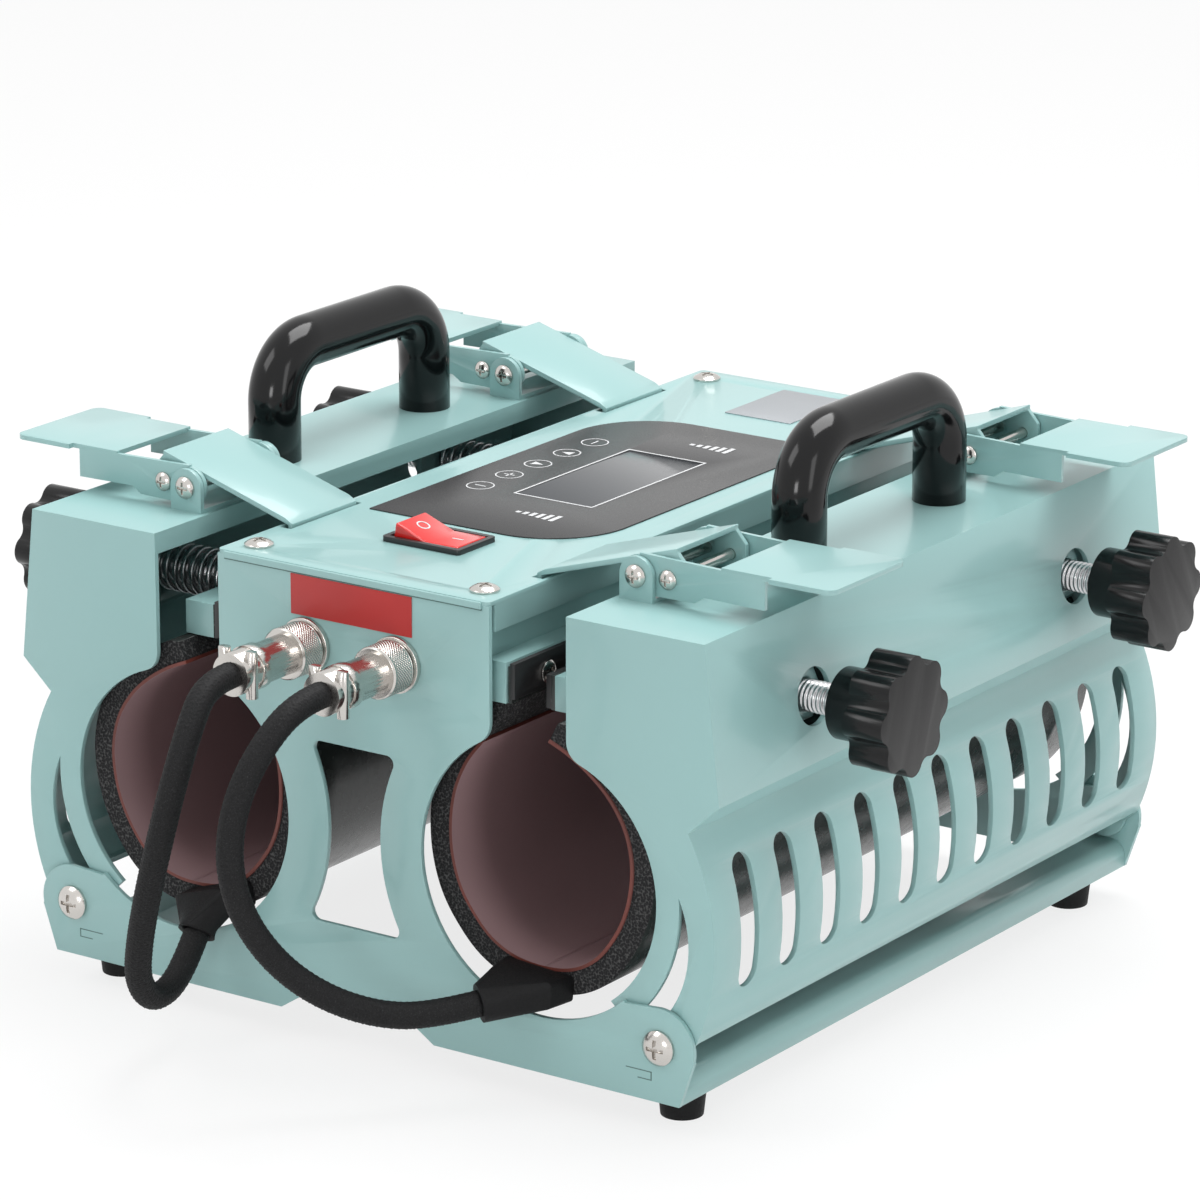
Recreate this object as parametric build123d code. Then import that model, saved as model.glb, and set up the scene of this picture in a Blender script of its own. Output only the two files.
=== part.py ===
from build123d import *
import math
import os

# Double tumbler heat press. X is right, Y is back, Z is up, in millimetres.
# The origin is on the table, below the middle of the machine.

# Frame
DEPTH = 312.0
SHEET = 2.0
FOOT_HEIGHT = 12.0
FOOT_RADIUS = 9.0
FOOT_X = 127.0
FOOT_INSET = 22.0
BASE_HALF = 140.5
COLUMN_REACH = 6.0
COVER_TOP = 169.8
COVER_SHEET = 1.5
BAY_X = 81.6
BAY_Z = 73.1
BAY_RADIUS = 51.9
WINDOW_RIB = 18.1
WINDOW_LOW = 37.0
WINDOW_HIGH = 105.5
ARCH_HALF = 36.0
ARCH_HEIGHT = 9.5
EAR_RADIUS = 14.5
RAIL_HEIGHT = 10.5
RAIL_WIDTH = 24.0
RAIL_WALL = 1.5
RAIL_BEND = 6.0

# Hinges
HINGE_X = 132.0
HINGE_Z = 20.6
HINGE_SHANK = 3.0
HINGE_HEAD = 6.5
RUNNING = 0.05
FLANGE_GAP = 0.5

# Doors
DOOR_TOP = 169.5
DOOR_INNER_X = 91.0
DOOR_OUTER_X = 148.5
DOOR_LOW_X = 154.8
DOOR_LOW_Z = 112.0
STEP_X = 142.0
STEP_Z = 100.5
BULGE_X = 153.2
BULGE_Z = 62.0
HEM_X = 146.0
HEM_Z = 24.0
INNER_LIP = 8.0
DOOR_ARC_X = 80.5
DOOR_ARC_Z = 71.0
DOOR_ARC_RADIUS = 48.5
DOOR_LOBE = 9.0
DOOR_CORNER = 8.0
CRESCENT_RADIUS = 58.0
CRESCENT_BAND = 9.5
SLOT_COUNT = 11
SLOT_PITCH = 26.2
SLOT_WIDTH = 11.4
SLOT_LOW = 40.0
SLOT_HIGH = 88.6

# Mats
MAT_X = 79.0
MAT_Z = 74.5
MAT_INNER = 36.9
HEATER = 1.6
FOAM = 8.5
MAT_TOP_X = 69.5
MAT_TOP_Z = 127.0
MAT_TOP_INNER = 4.9
MAT_FRONT = 7.0
CLEAR = 0.3

# Clamp bars
FIXED_BAR_WIDTH = 8.95
HOUSING_WALL = 1.2
HOUSING_LOW = 112.0
HOUSING_BEND = 134.0
HOUSING_TAPER = 14.0
FIXED_BAR_HEIGHT = 15.0
FIXED_BAR_LOW = 132.0
BAR_INSET = 6.0
PRESS_INSET = 17.0
STRIP = 2.0
STRIP_HEIGHT = 13.0
BAR_WIDTH = 12.7
BAR_LOW = 129.0
BAR_WALL = 1.6
SCREW_COUNT = 3
SCREW_MARGIN = 26.0

# Pressure knobs
KNOB_Z = 138.0
KNOB_INSET = 66.0
KNOB_RADIUS = 22.0
KNOB_LOBES = 8
KNOB_THICK = 16.0
KNOB_FACE_X = 193.5
HUB_RADIUS = 13.0
HUB_LENGTH = 12.5
STUD_RADIUS = 6.0
STUD_HOLE = 10.5
JOURNAL_RADIUS = 3.5
BRACKET_X = 138.0
BRACKET_SHEET = 2.5
BRACKET_WIDTH = 36.0
NUT_FLATS = 19.0
NUT_THICK = 7.5
SPRING_RADIUS = 8.6
SPRING_WIRE = 1.0
SPRING_TURNS = 11

# Latches
LATCH_INSET = 56.0
PIN_X = 100.0
PIN_REACH = 12.0
PIN_Z = 178.6
PIN_RADIUS = 2.2
EAR_HALF = 24.0
EAR_SHEET = 2.0
EAR_WIDTH = 14.0
CHEEK_SHEET = 1.7
PADDLE_X = 181.0
PADDLE_ROOT = 134.0
PADDLE_TOP = 186.6
HOOK_HALF = 19.3
HOOK_SHEET = 2.0
HOOK_GAP = 0.4
HOOK_BACK_X = 114.0
HOOK_BACK_Z = 189.6
LIP_DEPTH = 2.0
CATCH_BEFORE = 0.8
CATCH_AFTER = 2.0

# Handles
HANDLE_X = 118.0
HANDLE_SPAN = 95.0
HANDLE_RISE = 52.0
HANDLE_RADIUS = 10.0
HANDLE_BEND = 20.0

# Control panel
OVERLAY_HALF = 46.0
OVERLAY_FRONT = 72.0
OVERLAY_REAR = 238.0
OVERLAY_ROUND = 32.0
OVERLAY_THICK = 0.5
LCD_X = 3.4
LCD_WIDTH = 33.6
LCD_FRONT = 119.4
LCD_REAR = 193.0
ROCKER_Y = 52.5
ROCKER_HALF_X = 14.0
ROCKER_HALF_Y = 9.0
ROCKER_TILT = 10.0
ROCKER_PIVOT_Z = 168.5
BEZEL_RIM = 3.2
COVER_SCREW_X = 50.0
COVER_SCREW_INSET = 11.5

# Plates and inlets
RED_WIDTH = 53.5
RED_LOW = 151.3
RED_HIGH = 166.3
GREY_WIDTH = 30.4
GREY_FRONT = 261.0
GREY_REAR = 303.0
PLATE_THICK = 0.4
SOCKET_X = 20.0
SOCKET_Z = 140.5
SOCKET_NOSE = 9.0
GLAND_REACH = 18.0
GLAND_BORE = 4.2
GLAND_Z = 140.0

# Mat cables
CABLE_RADIUS = 5.0
PLUG_LENGTH = 44.0
TAIL_REACH = 14.0
TAIL_FRONT = 19.25

BACK_SHIFT = (TAIL_FRONT - GLAND_REACH) / 2
BAR_X = MAT_TOP_X + MAT_TOP_INNER + HEATER + 2 * RUNNING
FIXED_STRIP_X = MAT_TOP_X - MAT_TOP_INNER
HOUSING_HALF = FIXED_STRIP_X - HEATER - RUNNING - FIXED_BAR_WIDTH
COLUMN_HALF = HOUSING_HALF + COLUMN_REACH
HOOK_TIP_X = HOUSING_HALF + HOOK_GAP
STUD_Y = (KNOB_INSET, DEPTH - KNOB_INSET)
LATCH_Y = (LATCH_INSET, DEPTH - LATCH_INSET)
NAMES_Y = ("front", "rear")


def back(depth):
    """Y of a place measured back from the face of the front plate."""
    return depth - DEPTH / 2 + BACK_SHIFT


def up(height):
    """Z of a place measured up from the lower edge of the base."""
    return height + FOOT_HEIGHT


def profile(sketch, near, far):
    """A section drawn in X and height, extruded from one depth to another."""
    solid = extrude(Plane.XZ * sketch, far - near)
    return Pos(0, back(far), up(0)) * solid


def plan(sketch, low, high):
    """A shape drawn in X and depth, extruded from one height to another."""
    return Pos(0, back(0), up(low)) * extrude(sketch, high - low)


def shape(*points):
    return make_face(Polyline(*points, close=True))


def oblong(x0, x1, z0, z1):
    return Pos((x0 + x1) / 2, (z0 + z1) / 2) * Rectangle(x1 - x0, z1 - z0)


def disc(x, z, radius):
    return Pos(x, z) * Circle(radius)


def block(x0, x1, near, far, low, high):
    return profile(oblong(x0, x1, low, high), near, far)


def rod_y(x, height, radius, near, far):
    return profile(disc(x, height, radius), near, far)


def rod_x(depth, height, radius, x0, x1):
    rod = extrude(Plane.YZ * Circle(radius), x1 - x0)
    return Pos(x0, back(depth), up(height)) * rod


def across(solid):
    """The same piece on the left side of the machine."""
    return mirror(solid, about=Plane.YZ)


def near_corners(sketch, places, radius):
    """The sketch with the corners that lie at the given places rounded."""
    found = [
        v
        for v in sketch.vertices()
        if any(math.hypot(v.X - x, v.Y - z) < 1.0 for x, z in places)
    ]
    return fillet(found, radius) if found else sketch


def save(name, *solids):
    parts = Compound(children=[s for piece in solids for s in piece.solids()])
    parts.label = name
    export_step(parts, f"parts/{name}.step")


def pan_head(radius, dome):
    """A round domed screw head standing up along Z from the origin."""
    section = make_face(
        [
            Line((0, 0), (radius, 0)),
            Line((radius, 0), (radius, dome * 0.35)),
            ThreePointArc((radius, dome * 0.35), (radius * 0.62, dome * 0.87), (0, dome)),
            Line((0, dome), (0, 0)),
        ]
    )
    head = revolve(Plane.XZ * section, Axis.Z)
    cross = Box(radius * 1.1, radius * 0.22, dome) + Box(radius * 0.22, radius * 1.1, dome)
    return head - Pos(0, 0, dome * 1.05) * cross


# End plates of the base, with the two bays and the middle column

def bays():
    return disc(BAY_X, BAY_Z, BAY_RADIUS) + disc(-BAY_X, BAY_Z, BAY_RADIUS)


def window():
    rib = BAY_RADIUS + WINDOW_RIB
    hole = oblong(-BAY_X / 2, BAY_X / 2, WINDOW_LOW, WINDOW_HIGH)
    hole -= disc(BAY_X, BAY_Z, rib) + disc(-BAY_X, BAY_Z, rib)
    half = BAY_X - math.sqrt(rib**2 - (WINDOW_HIGH - BAY_Z) ** 2)
    foot = BAY_X - math.sqrt(rib**2 - (WINDOW_LOW - BAY_Z) ** 2)
    corners = [(half, WINDOW_HIGH), (-half, WINDOW_HIGH), (foot, WINDOW_LOW), (-foot, WINDOW_LOW)]
    return near_corners(hole, corners, 3.0)


def end_plate(near):
    edge = HINGE_X + EAR_RADIUS
    right = [
        (BASE_HALF, 0),
        (edge, HINGE_Z - 3),
        (HINGE_X, HINGE_Z + EAR_RADIUS),
        (HINGE_X - EAR_RADIUS, HINGE_Z + EAR_RADIUS - 1),
        (BAY_X, BAY_Z),
        (COLUMN_HALF, BAY_Z + BAY_RADIUS * 0.88),
        (COLUMN_HALF, COVER_TOP - COVER_SHEET),
    ]
    left = [(-x, z) for x, z in reversed(right)]
    face = shape(*right, *left)
    face += disc(HINGE_X, HINGE_Z, EAR_RADIUS) + disc(-HINGE_X, HINGE_Z, EAR_RADIUS)
    face -= bays()
    shoulder = BAY_Z + math.sqrt(BAY_RADIUS**2 - (BAY_X - COLUMN_HALF) ** 2)
    face = near_corners(face, [(COLUMN_HALF, shoulder), (-COLUMN_HALF, shoulder)], 9.0)
    face -= window()
    arch = shape(
        (-ARCH_HALF, -1),
        (-ARCH_HALF * 0.55, ARCH_HEIGHT),
        (ARCH_HALF * 0.55, ARCH_HEIGHT),
        (ARCH_HALF, -1),
    )
    corner = ARCH_HALF * 0.55
    face -= near_corners(arch, [(corner, ARCH_HEIGHT), (-corner, ARCH_HEIGHT)], 9.0)
    for side in (1, -1):
        face -= disc(side * HINGE_X, HINGE_Z, HINGE_SHANK + RUNNING)
    return profile(face, near, near + SHEET)


front_plate = end_plate(0)
rear_plate = end_plate(DEPTH - SHEET)
for side in (1, -1):
    front_plate -= rod_y(side * SOCKET_X, SOCKET_Z, 8.1, -1, SHEET + 1)
rear_plate -= rod_y(0, GLAND_Z, 8.1, DEPTH - SHEET - 1, DEPTH + 1)
save("front_plate", front_plate)
save("rear_plate", rear_plate)


# Side rails and feet

def rail():
    inner = BASE_HALF - RAIL_WIDTH
    outline = oblong(inner, BASE_HALF, 0, RAIL_HEIGHT)
    outline = near_corners(outline, [(BASE_HALF, RAIL_HEIGHT)], RAIL_BEND)
    hollow = oblong(inner + RAIL_WALL, BASE_HALF - RAIL_WALL, RAIL_WALL, RAIL_HEIGHT - RAIL_WALL)
    place = [(BASE_HALF - RAIL_WALL, RAIL_HEIGHT - RAIL_WALL)]
    hollow = near_corners(hollow, place, RAIL_BEND - RAIL_WALL)
    return profile(outline - hollow, SHEET, DEPTH - SHEET)


right_rail = rail()
save("side_rails", right_rail, across(right_rail))


def foot(x, depth):
    cone = Cone(FOOT_RADIUS * 0.86, FOOT_RADIUS, FOOT_HEIGHT)
    return Pos(x, back(depth), FOOT_HEIGHT / 2) * cone


save(
    "feet",
    *[foot(x, d) for x in (FOOT_X, -FOOT_X) for d in (FOOT_INSET, DEPTH - FOOT_INSET)],
)


# Hinge screws, each with its nut behind the door's flange

def hinge_screw(side):
    flange_back = SHEET + FLANGE_GAP + SHEET
    nut_near = flange_back + CLEAR
    shank = rod_y(side * HINGE_X, HINGE_Z, HINGE_SHANK, 0, nut_near + 4.5)
    nut = profile(Pos(side * HINGE_X, HINGE_Z) * RegularPolygon(5.0, 6), nut_near, nut_near + 4)
    head = Pos(side * HINGE_X, back(0), up(HINGE_Z)) * Rot(90, 0, 0) * pan_head(HINGE_HEAD, 3.2)
    return shank + nut + head


middle_y = back(DEPTH / 2)
mid_plane = Plane.XZ.offset(-middle_y)
hinge_screws = [hinge_screw(side) for side in (1, -1)]
save("hinge_screws", *hinge_screws, *[mirror(s, about=mid_plane) for s in hinge_screws])


# Housing in the column, cover and what it carries

wall_top = COVER_TOP - COVER_SHEET
tray_outline = shape(
    (-HOUSING_HALF, wall_top),
    (-HOUSING_HALF, HOUSING_BEND),
    (HOUSING_TAPER - HOUSING_HALF, HOUSING_LOW),
    (HOUSING_HALF - HOUSING_TAPER, HOUSING_LOW),
    (HOUSING_HALF, HOUSING_BEND),
    (HOUSING_HALF, wall_top),
)
tray_inside = offset(tray_outline, -HOUSING_WALL)
tray_inside += oblong(
    HOUSING_WALL - HOUSING_HALF, HOUSING_HALF - HOUSING_WALL, HOUSING_BEND, wall_top + 5
)
tray = profile(tray_outline - tray_inside, SHEET, DEPTH - SHEET)
save("housing_tray", tray)


def cover():
    top = plan(
        Pos(0, DEPTH / 2) * RectangleRounded(2 * COLUMN_HALF, DEPTH, 2.0), wall_top, COVER_TOP
    )
    lip = block(COLUMN_HALF - COVER_SHEET, COLUMN_HALF, 4, DEPTH - 4, wall_top - 10, wall_top)
    top += lip + across(lip)
    slot = HOOK_TIP_X - CATCH_BEFORE
    for depth in LATCH_Y:
        hole = block(
            slot,
            HOOK_TIP_X + HOOK_SHEET + CATCH_AFTER,
            depth - HOOK_HALF - 2,
            depth + HOOK_HALF + 2,
            wall_top - 3,
            COVER_TOP + 1,
        )
        top -= hole + across(hole)
    hole_x = ROCKER_HALF_X + 1.2
    top -= block(
        -hole_x, hole_x, ROCKER_Y - ROCKER_HALF_Y - 0.6, ROCKER_Y + ROCKER_HALF_Y + 0.6, 160, 175
    )
    for x in (COVER_SCREW_X, -COVER_SCREW_X):
        for depth in (COVER_SCREW_INSET, DEPTH - COVER_SCREW_INSET):
            top -= Pos(x, back(depth), up(COVER_TOP)) * Cylinder(2.1, 8)
    return top


save("control_cover", cover())


def cover_screw(x, depth):
    place = Pos(x, back(depth), up(COVER_TOP))
    shank = Pos(0, 0, -4) * Cylinder(2.0, 8)
    return place * (pan_head(5.4, 2.4) + shank)


save(
    "cover_screws",
    *[
        cover_screw(x, d)
        for x in (COVER_SCREW_X, -COVER_SCREW_X)
        for d in (COVER_SCREW_INSET, DEPTH - COVER_SCREW_INSET)
    ],
)

lcd_low = LCD_X - LCD_WIDTH / 2
lcd_high = LCD_X + LCD_WIDTH / 2
overlay_face = oblong(-OVERLAY_HALF, OVERLAY_HALF, OVERLAY_FRONT, OVERLAY_REAR)
overlay_face = near_corners(
    overlay_face, [(-OVERLAY_HALF, OVERLAY_REAR), (OVERLAY_HALF, OVERLAY_FRONT)], OVERLAY_ROUND
)
overlay_face -= oblong(lcd_low, lcd_high, LCD_FRONT, LCD_REAR)
save("display_overlay", plan(overlay_face, COVER_TOP, COVER_TOP + OVERLAY_THICK))
lcd_face = oblong(
    lcd_low + RUNNING, lcd_high - RUNNING, LCD_FRONT + RUNNING, LCD_REAR - RUNNING
)
save("lcd_window", plan(lcd_face, COVER_TOP, COVER_TOP + OVERLAY_THICK * 0.8))

bezel_x = ROCKER_HALF_X + BEZEL_RIM
bezel_y = ROCKER_HALF_Y + BEZEL_RIM - 0.6
bezel_face = Pos(0, ROCKER_Y) * RectangleRounded(2 * bezel_x, 2 * bezel_y, 1.5)
bezel_hole = Pos(0, ROCKER_Y) * Rectangle(2 * ROCKER_HALF_X + 2.4, 2 * ROCKER_HALF_Y + 0.8)
bezel = plan(bezel_face - bezel_hole, COVER_TOP, COVER_TOP + 2.0)
bezel_well = Pos(0, ROCKER_Y) * Rectangle(2 * ROCKER_HALF_X + 2.2, 2 * ROCKER_HALF_Y + 1.0)
well_floor = ROCKER_PIVOT_Z - 6
bezel += plan(bezel_well - bezel_hole, well_floor, COVER_TOP + 1.0)
bezel += plan(bezel_well, well_floor - 12, well_floor)
save("rocker_bezel", bezel)

rocker_section = shape(
    (-ROCKER_HALF_X, ROCKER_PIVOT_Z - 1.2),
    (-ROCKER_HALF_X, ROCKER_PIVOT_Z + 6),
    (0, ROCKER_PIVOT_Z + 3.4),
    (ROCKER_HALF_X, ROCKER_PIVOT_Z + 6),
    (ROCKER_HALF_X, ROCKER_PIVOT_Z - 1.2),
)
rocker = profile(rocker_section, ROCKER_Y - ROCKER_HALF_Y, ROCKER_Y + ROCKER_HALF_Y)
pivot = Axis((0, 0, up(ROCKER_PIVOT_Z)), (0, 1, 0))
save("rocker_button", rocker.rotate(pivot, ROCKER_TILT))

red = block(-RED_WIDTH / 2, RED_WIDTH / 2, -PLATE_THICK, 0, RED_LOW, RED_HIGH)
save("red_plate", red)
grey_face = oblong(-GREY_WIDTH / 2, GREY_WIDTH / 2, GREY_FRONT, GREY_REAR)
save("grey_plate", plan(grey_face, COVER_TOP, COVER_TOP + PLATE_THICK))

# Control board under the cover, with its standoffs, relay and transformer

board_low = COVER_TOP - 22
board = plan(oblong(-45, 45, 80, 250), board_low, board_low + 1.6)
relay = plan(oblong(-35, -19, 90, 110), board_low + 1.6, wall_top - 1.5)
transformer = plan(oblong(12, 40, 205, 237), board_low - 20, board_low)
standoffs = [
    plan(disc(x, d, 3.0), board_low + 1.6, wall_top) for x in (-40, 40) for d in (86, 244)
]
save("control_board", board, relay, transformer, *standoffs)

# Cable sockets on the front plate and the mains gland at the back


def panel_socket(x):
    flange = rod_y(x, SOCKET_Z, 10.4, -2.2, 0)
    nose = rod_y(x, SOCKET_Z, 7.0, -SOCKET_NOSE, -2.2)
    body = rod_y(x, SOCKET_Z, 8.0, 0, 16)
    nut = profile(Pos(x, SOCKET_Z) * RegularPolygon(11.0, 6), SHEET, SHEET + 3)
    return flange + nose + body + nut


save("panel_sockets", panel_socket(SOCKET_X), panel_socket(-SOCKET_X))

gland = rod_y(0, GLAND_Z, 8.0, DEPTH - SHEET - 8, DEPTH)
gland += profile(Pos(0, GLAND_Z) * RegularPolygon(12.5, 6), DEPTH, DEPTH + 6)
gland += rod_y(0, GLAND_Z, 10.0, DEPTH + 6, DEPTH + GLAND_REACH)
gland += profile(
    Pos(0, GLAND_Z) * RegularPolygon(11.5, 6), DEPTH - SHEET - 5, DEPTH - SHEET
)
gland -= rod_y(0, GLAND_Z, GLAND_BORE, DEPTH - SHEET - 9, DEPTH + GLAND_REACH + 1)
save("power_gland", gland)


# Heating mats: foam backing outside, heater sheet inside

def teardrop(grow):
    """Outline that lies a distance outside the mat's inner face."""
    low = disc(MAT_X, MAT_Z, MAT_INNER + grow)
    top = disc(MAT_TOP_X, MAT_TOP_Z, MAT_TOP_INNER + grow)
    return make_hull(low.edges() + top.edges())


def open_mouth(ring):
    gap = FIXED_STRIP_X
    ring -= oblong(gap, MAT_TOP_X + MAT_TOP_INNER, MAT_TOP_Z - 12, 200)
    ring -= oblong(MAT_TOP_X, 200, BAR_LOW - CLEAR, 200)
    ring -= oblong(0, 200, FIXED_BAR_LOW - CLEAR, 200)
    return ring


mat_back = DEPTH - MAT_FRONT
foam_ring = open_mouth(teardrop(HEATER + FOAM) - teardrop(HEATER))
foam_ring -= oblong(FIXED_STRIP_X - HEATER, FIXED_STRIP_X, FIXED_BAR_LOW - 4, 200)
heater_ring = open_mouth(teardrop(HEATER) - teardrop(0))
fixed_hem = oblong(
    FIXED_STRIP_X - HEATER,
    FIXED_STRIP_X,
    FIXED_BAR_LOW - 4,
    FIXED_BAR_LOW + FIXED_BAR_HEIGHT - 1,
)
screw_places = [
    SCREW_MARGIN + i * (DEPTH - 2 * SCREW_MARGIN) / (SCREW_COUNT - 1) for i in range(SCREW_COUNT)
]
foam = profile(foam_ring, MAT_FRONT, mat_back)
heater = profile(heater_ring + fixed_hem, MAT_FRONT, mat_back)
fixed_screw_z = FIXED_BAR_LOW + FIXED_BAR_HEIGHT / 2
bar_screw_z = BAR_LOW + BAR_WIDTH / 2
bar_end = DEPTH - BAR_INSET
fixed_bar = block(
    HOUSING_HALF,
    FIXED_STRIP_X - HEATER - RUNNING,
    BAR_INSET,
    bar_end,
    FIXED_BAR_LOW,
    FIXED_BAR_LOW + FIXED_BAR_HEIGHT,
)
strip_low = FIXED_STRIP_X + RUNNING
strip = block(
    strip_low,
    strip_low + STRIP,
    BAR_INSET,
    bar_end,
    FIXED_BAR_LOW + FIXED_BAR_HEIGHT - STRIP_HEIGHT,
    FIXED_BAR_LOW + FIXED_BAR_HEIGHT,
)


def clamp_screw(depth, height, face_x):
    """A screw whose head stands on the face and whose shank points to lower X."""
    place = Pos(face_x, back(depth), up(height))
    head = Rot(0, 90, 0) * pan_head(4.2, 2.0)
    return place * head + rod_x(depth, height, 2.0, face_x - 8, face_x)


strip_screws = [clamp_screw(d, fixed_screw_z, strip_low + STRIP) for d in screw_places]
for depth in screw_places:
    drill = rod_x(depth, fixed_screw_z, 2.0 + RUNNING, strip_low - 10, strip_low + STRIP + 1)
    heater -= drill
    fixed_bar -= drill
    strip -= drill
save("foam_right", foam)
save("foam_left", across(foam))
save("heater_right", heater)
save("heater_left", across(heater))
save("fixed_bars", fixed_bar, across(fixed_bar))
save("clamp_strips", strip, across(strip))
save("strip_screws", *strip_screws, *[across(s) for s in strip_screws])

# Pressure bars that hold the moving ends of the mats

bar_top = BAR_LOW + BAR_WIDTH
bar_section = oblong(BAR_X, BAR_X + BAR_WIDTH, BAR_LOW, bar_top)
bar_section -= oblong(
    BAR_X + BAR_WALL, BAR_X + BAR_WIDTH - BAR_WALL, BAR_LOW + BAR_WALL, bar_top - BAR_WALL
)
press_end = DEPTH - PRESS_INSET
bar = profile(bar_section, PRESS_INSET, press_end)
for near in (PRESS_INSET, press_end - BAR_WALL):
    bar += block(BAR_X, BAR_X + BAR_WIDTH, near, near + BAR_WALL, BAR_LOW, bar_top)
hem_x = BAR_X - RUNNING
moving_hem = block(hem_x - HEATER, hem_x, PRESS_INSET, press_end, BAR_LOW, bar_top)
press_x = hem_x - HEATER - RUNNING
press_strip = block(press_x - STRIP, press_x, PRESS_INSET, press_end, BAR_LOW + 0.4, bar_top)
bar_screws = []
for depth in screw_places:
    drill = rod_x(depth, bar_screw_z, 2.0 + RUNNING, press_x - STRIP - 1, BAR_X + BAR_WALL + 1)
    bar -= drill
    moving_hem -= drill
    press_strip -= drill
    face = press_x - STRIP
    head = Rot(0, -90, 0) * pan_head(3.4, 1.2)
    shank = rod_x(depth, bar_screw_z, 2.0, face, face + 8)
    bar_screws.append(Pos(face, back(depth), up(bar_screw_z)) * head + shank)
stud_z = BAR_LOW + BAR_WIDTH / 2
bar_face = BAR_X + BAR_WIDTH
for depth in STUD_Y:
    bar -= rod_x(depth, stud_z, JOURNAL_RADIUS + RUNNING, bar_face - 3, bar_face + 1)
save("press_bar_right", bar)
save("press_bar_left", across(bar))
save("press_strip_right", press_strip, moving_hem, *bar_screws)
save("press_strip_left", across(press_strip), across(moving_hem), *[across(s) for s in bar_screws])

# Knobs and studs


def knob(depth):
    root = KNOB_FACE_X - KNOB_THICK
    lobe = KNOB_RADIUS * 0.25
    star = Circle(KNOB_RADIUS * 0.88)
    for i in range(KNOB_LOBES):
        turn = 2 * math.pi * i / KNOB_LOBES
        reach = KNOB_RADIUS - lobe
        star += disc(reach * math.cos(turn), reach * math.sin(turn), lobe)
        half = turn + math.pi / KNOB_LOBES
        star -= disc(KNOB_RADIUS * 1.03 * math.cos(half), KNOB_RADIUS * 1.03 * math.sin(half), 4.2)
    head = extrude(Plane.YZ * star, KNOB_THICK)
    head = Pos(root, back(depth), up(stud_z)) * head
    body = head + rod_x(depth, stud_z, HUB_RADIUS, root - HUB_LENGTH, root)
    return body - rod_x(depth, stud_z, STUD_RADIUS + RUNNING, root - HUB_LENGTH - 1, root)


def stud(depth):
    root = KNOB_FACE_X - KNOB_THICK
    shaft = rod_x(depth, stud_z, STUD_RADIUS, bar_face + 0.4, root - 0.2)
    journal = rod_x(depth, stud_z, JOURNAL_RADIUS, bar_face - BAR_WALL - 2.4, bar_face + 0.4)
    keeper = rod_x(depth, stud_z, 4.5, bar_face - BAR_WALL - 2.4, bar_face - BAR_WALL - 0.3)
    return shaft + journal + keeper


for name, depth in zip(NAMES_Y, STUD_Y):
    save(f"knob_{name}_right", knob(depth))
    save(f"knob_{name}_left", across(knob(depth)))
    save(f"stud_{name}_right", stud(depth))
    save(f"stud_{name}_left", across(stud(depth)))


# Doors

def skin_outline():
    """Outer outline of a door's section, closed down its open side."""
    return [
        Line((DOOR_INNER_X, DOOR_TOP), (DOOR_OUTER_X, DOOR_TOP)),
        Line((DOOR_OUTER_X, DOOR_TOP), (DOOR_LOW_X, DOOR_LOW_Z)),
        Line((DOOR_LOW_X, DOOR_LOW_Z), (STEP_X, STEP_Z)),
        ThreePointArc((STEP_X, STEP_Z), (BULGE_X, BULGE_Z), (HEM_X, HEM_Z)),
    ]


def door_skin():
    close = [
        Line((HEM_X, HEM_Z), (DOOR_INNER_X, HEM_Z)),
        Line((DOOR_INNER_X, HEM_Z), (DOOR_INNER_X, DOOR_TOP)),
    ]
    outline = make_face(skin_outline() + close)
    section = outline - offset(outline, -SHEET)
    section -= oblong(DOOR_INNER_X - 1, DOOR_INNER_X + SHEET, 0, DOOR_TOP - INNER_LIP)
    section -= oblong(DOOR_INNER_X - 1, HEM_X - 2 * SHEET, 0, HEM_Z + 2 * SHEET)
    near = SHEET + FLANGE_GAP
    skin = profile(section, near, DEPTH - near)
    middle = (SLOT_LOW + SLOT_HIGH) / 2
    for i in range(SLOT_COUNT):
        depth = DEPTH / 2 + (i - (SLOT_COUNT - 1) / 2) * SLOT_PITCH
        slot = Plane.YZ * Rot(0, 0, 90) * SlotOverall(SLOT_HIGH - SLOT_LOW, SLOT_WIDTH)
        skin -= Pos(DOOR_OUTER_X - 15, back(depth), up(middle)) * extrude(slot, 30)
    for depth in STUD_Y:
        skin -= rod_x(depth, stud_z, STUD_HOLE, BRACKET_X + 5, DOOR_LOW_X + 5)
    return skin


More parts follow.
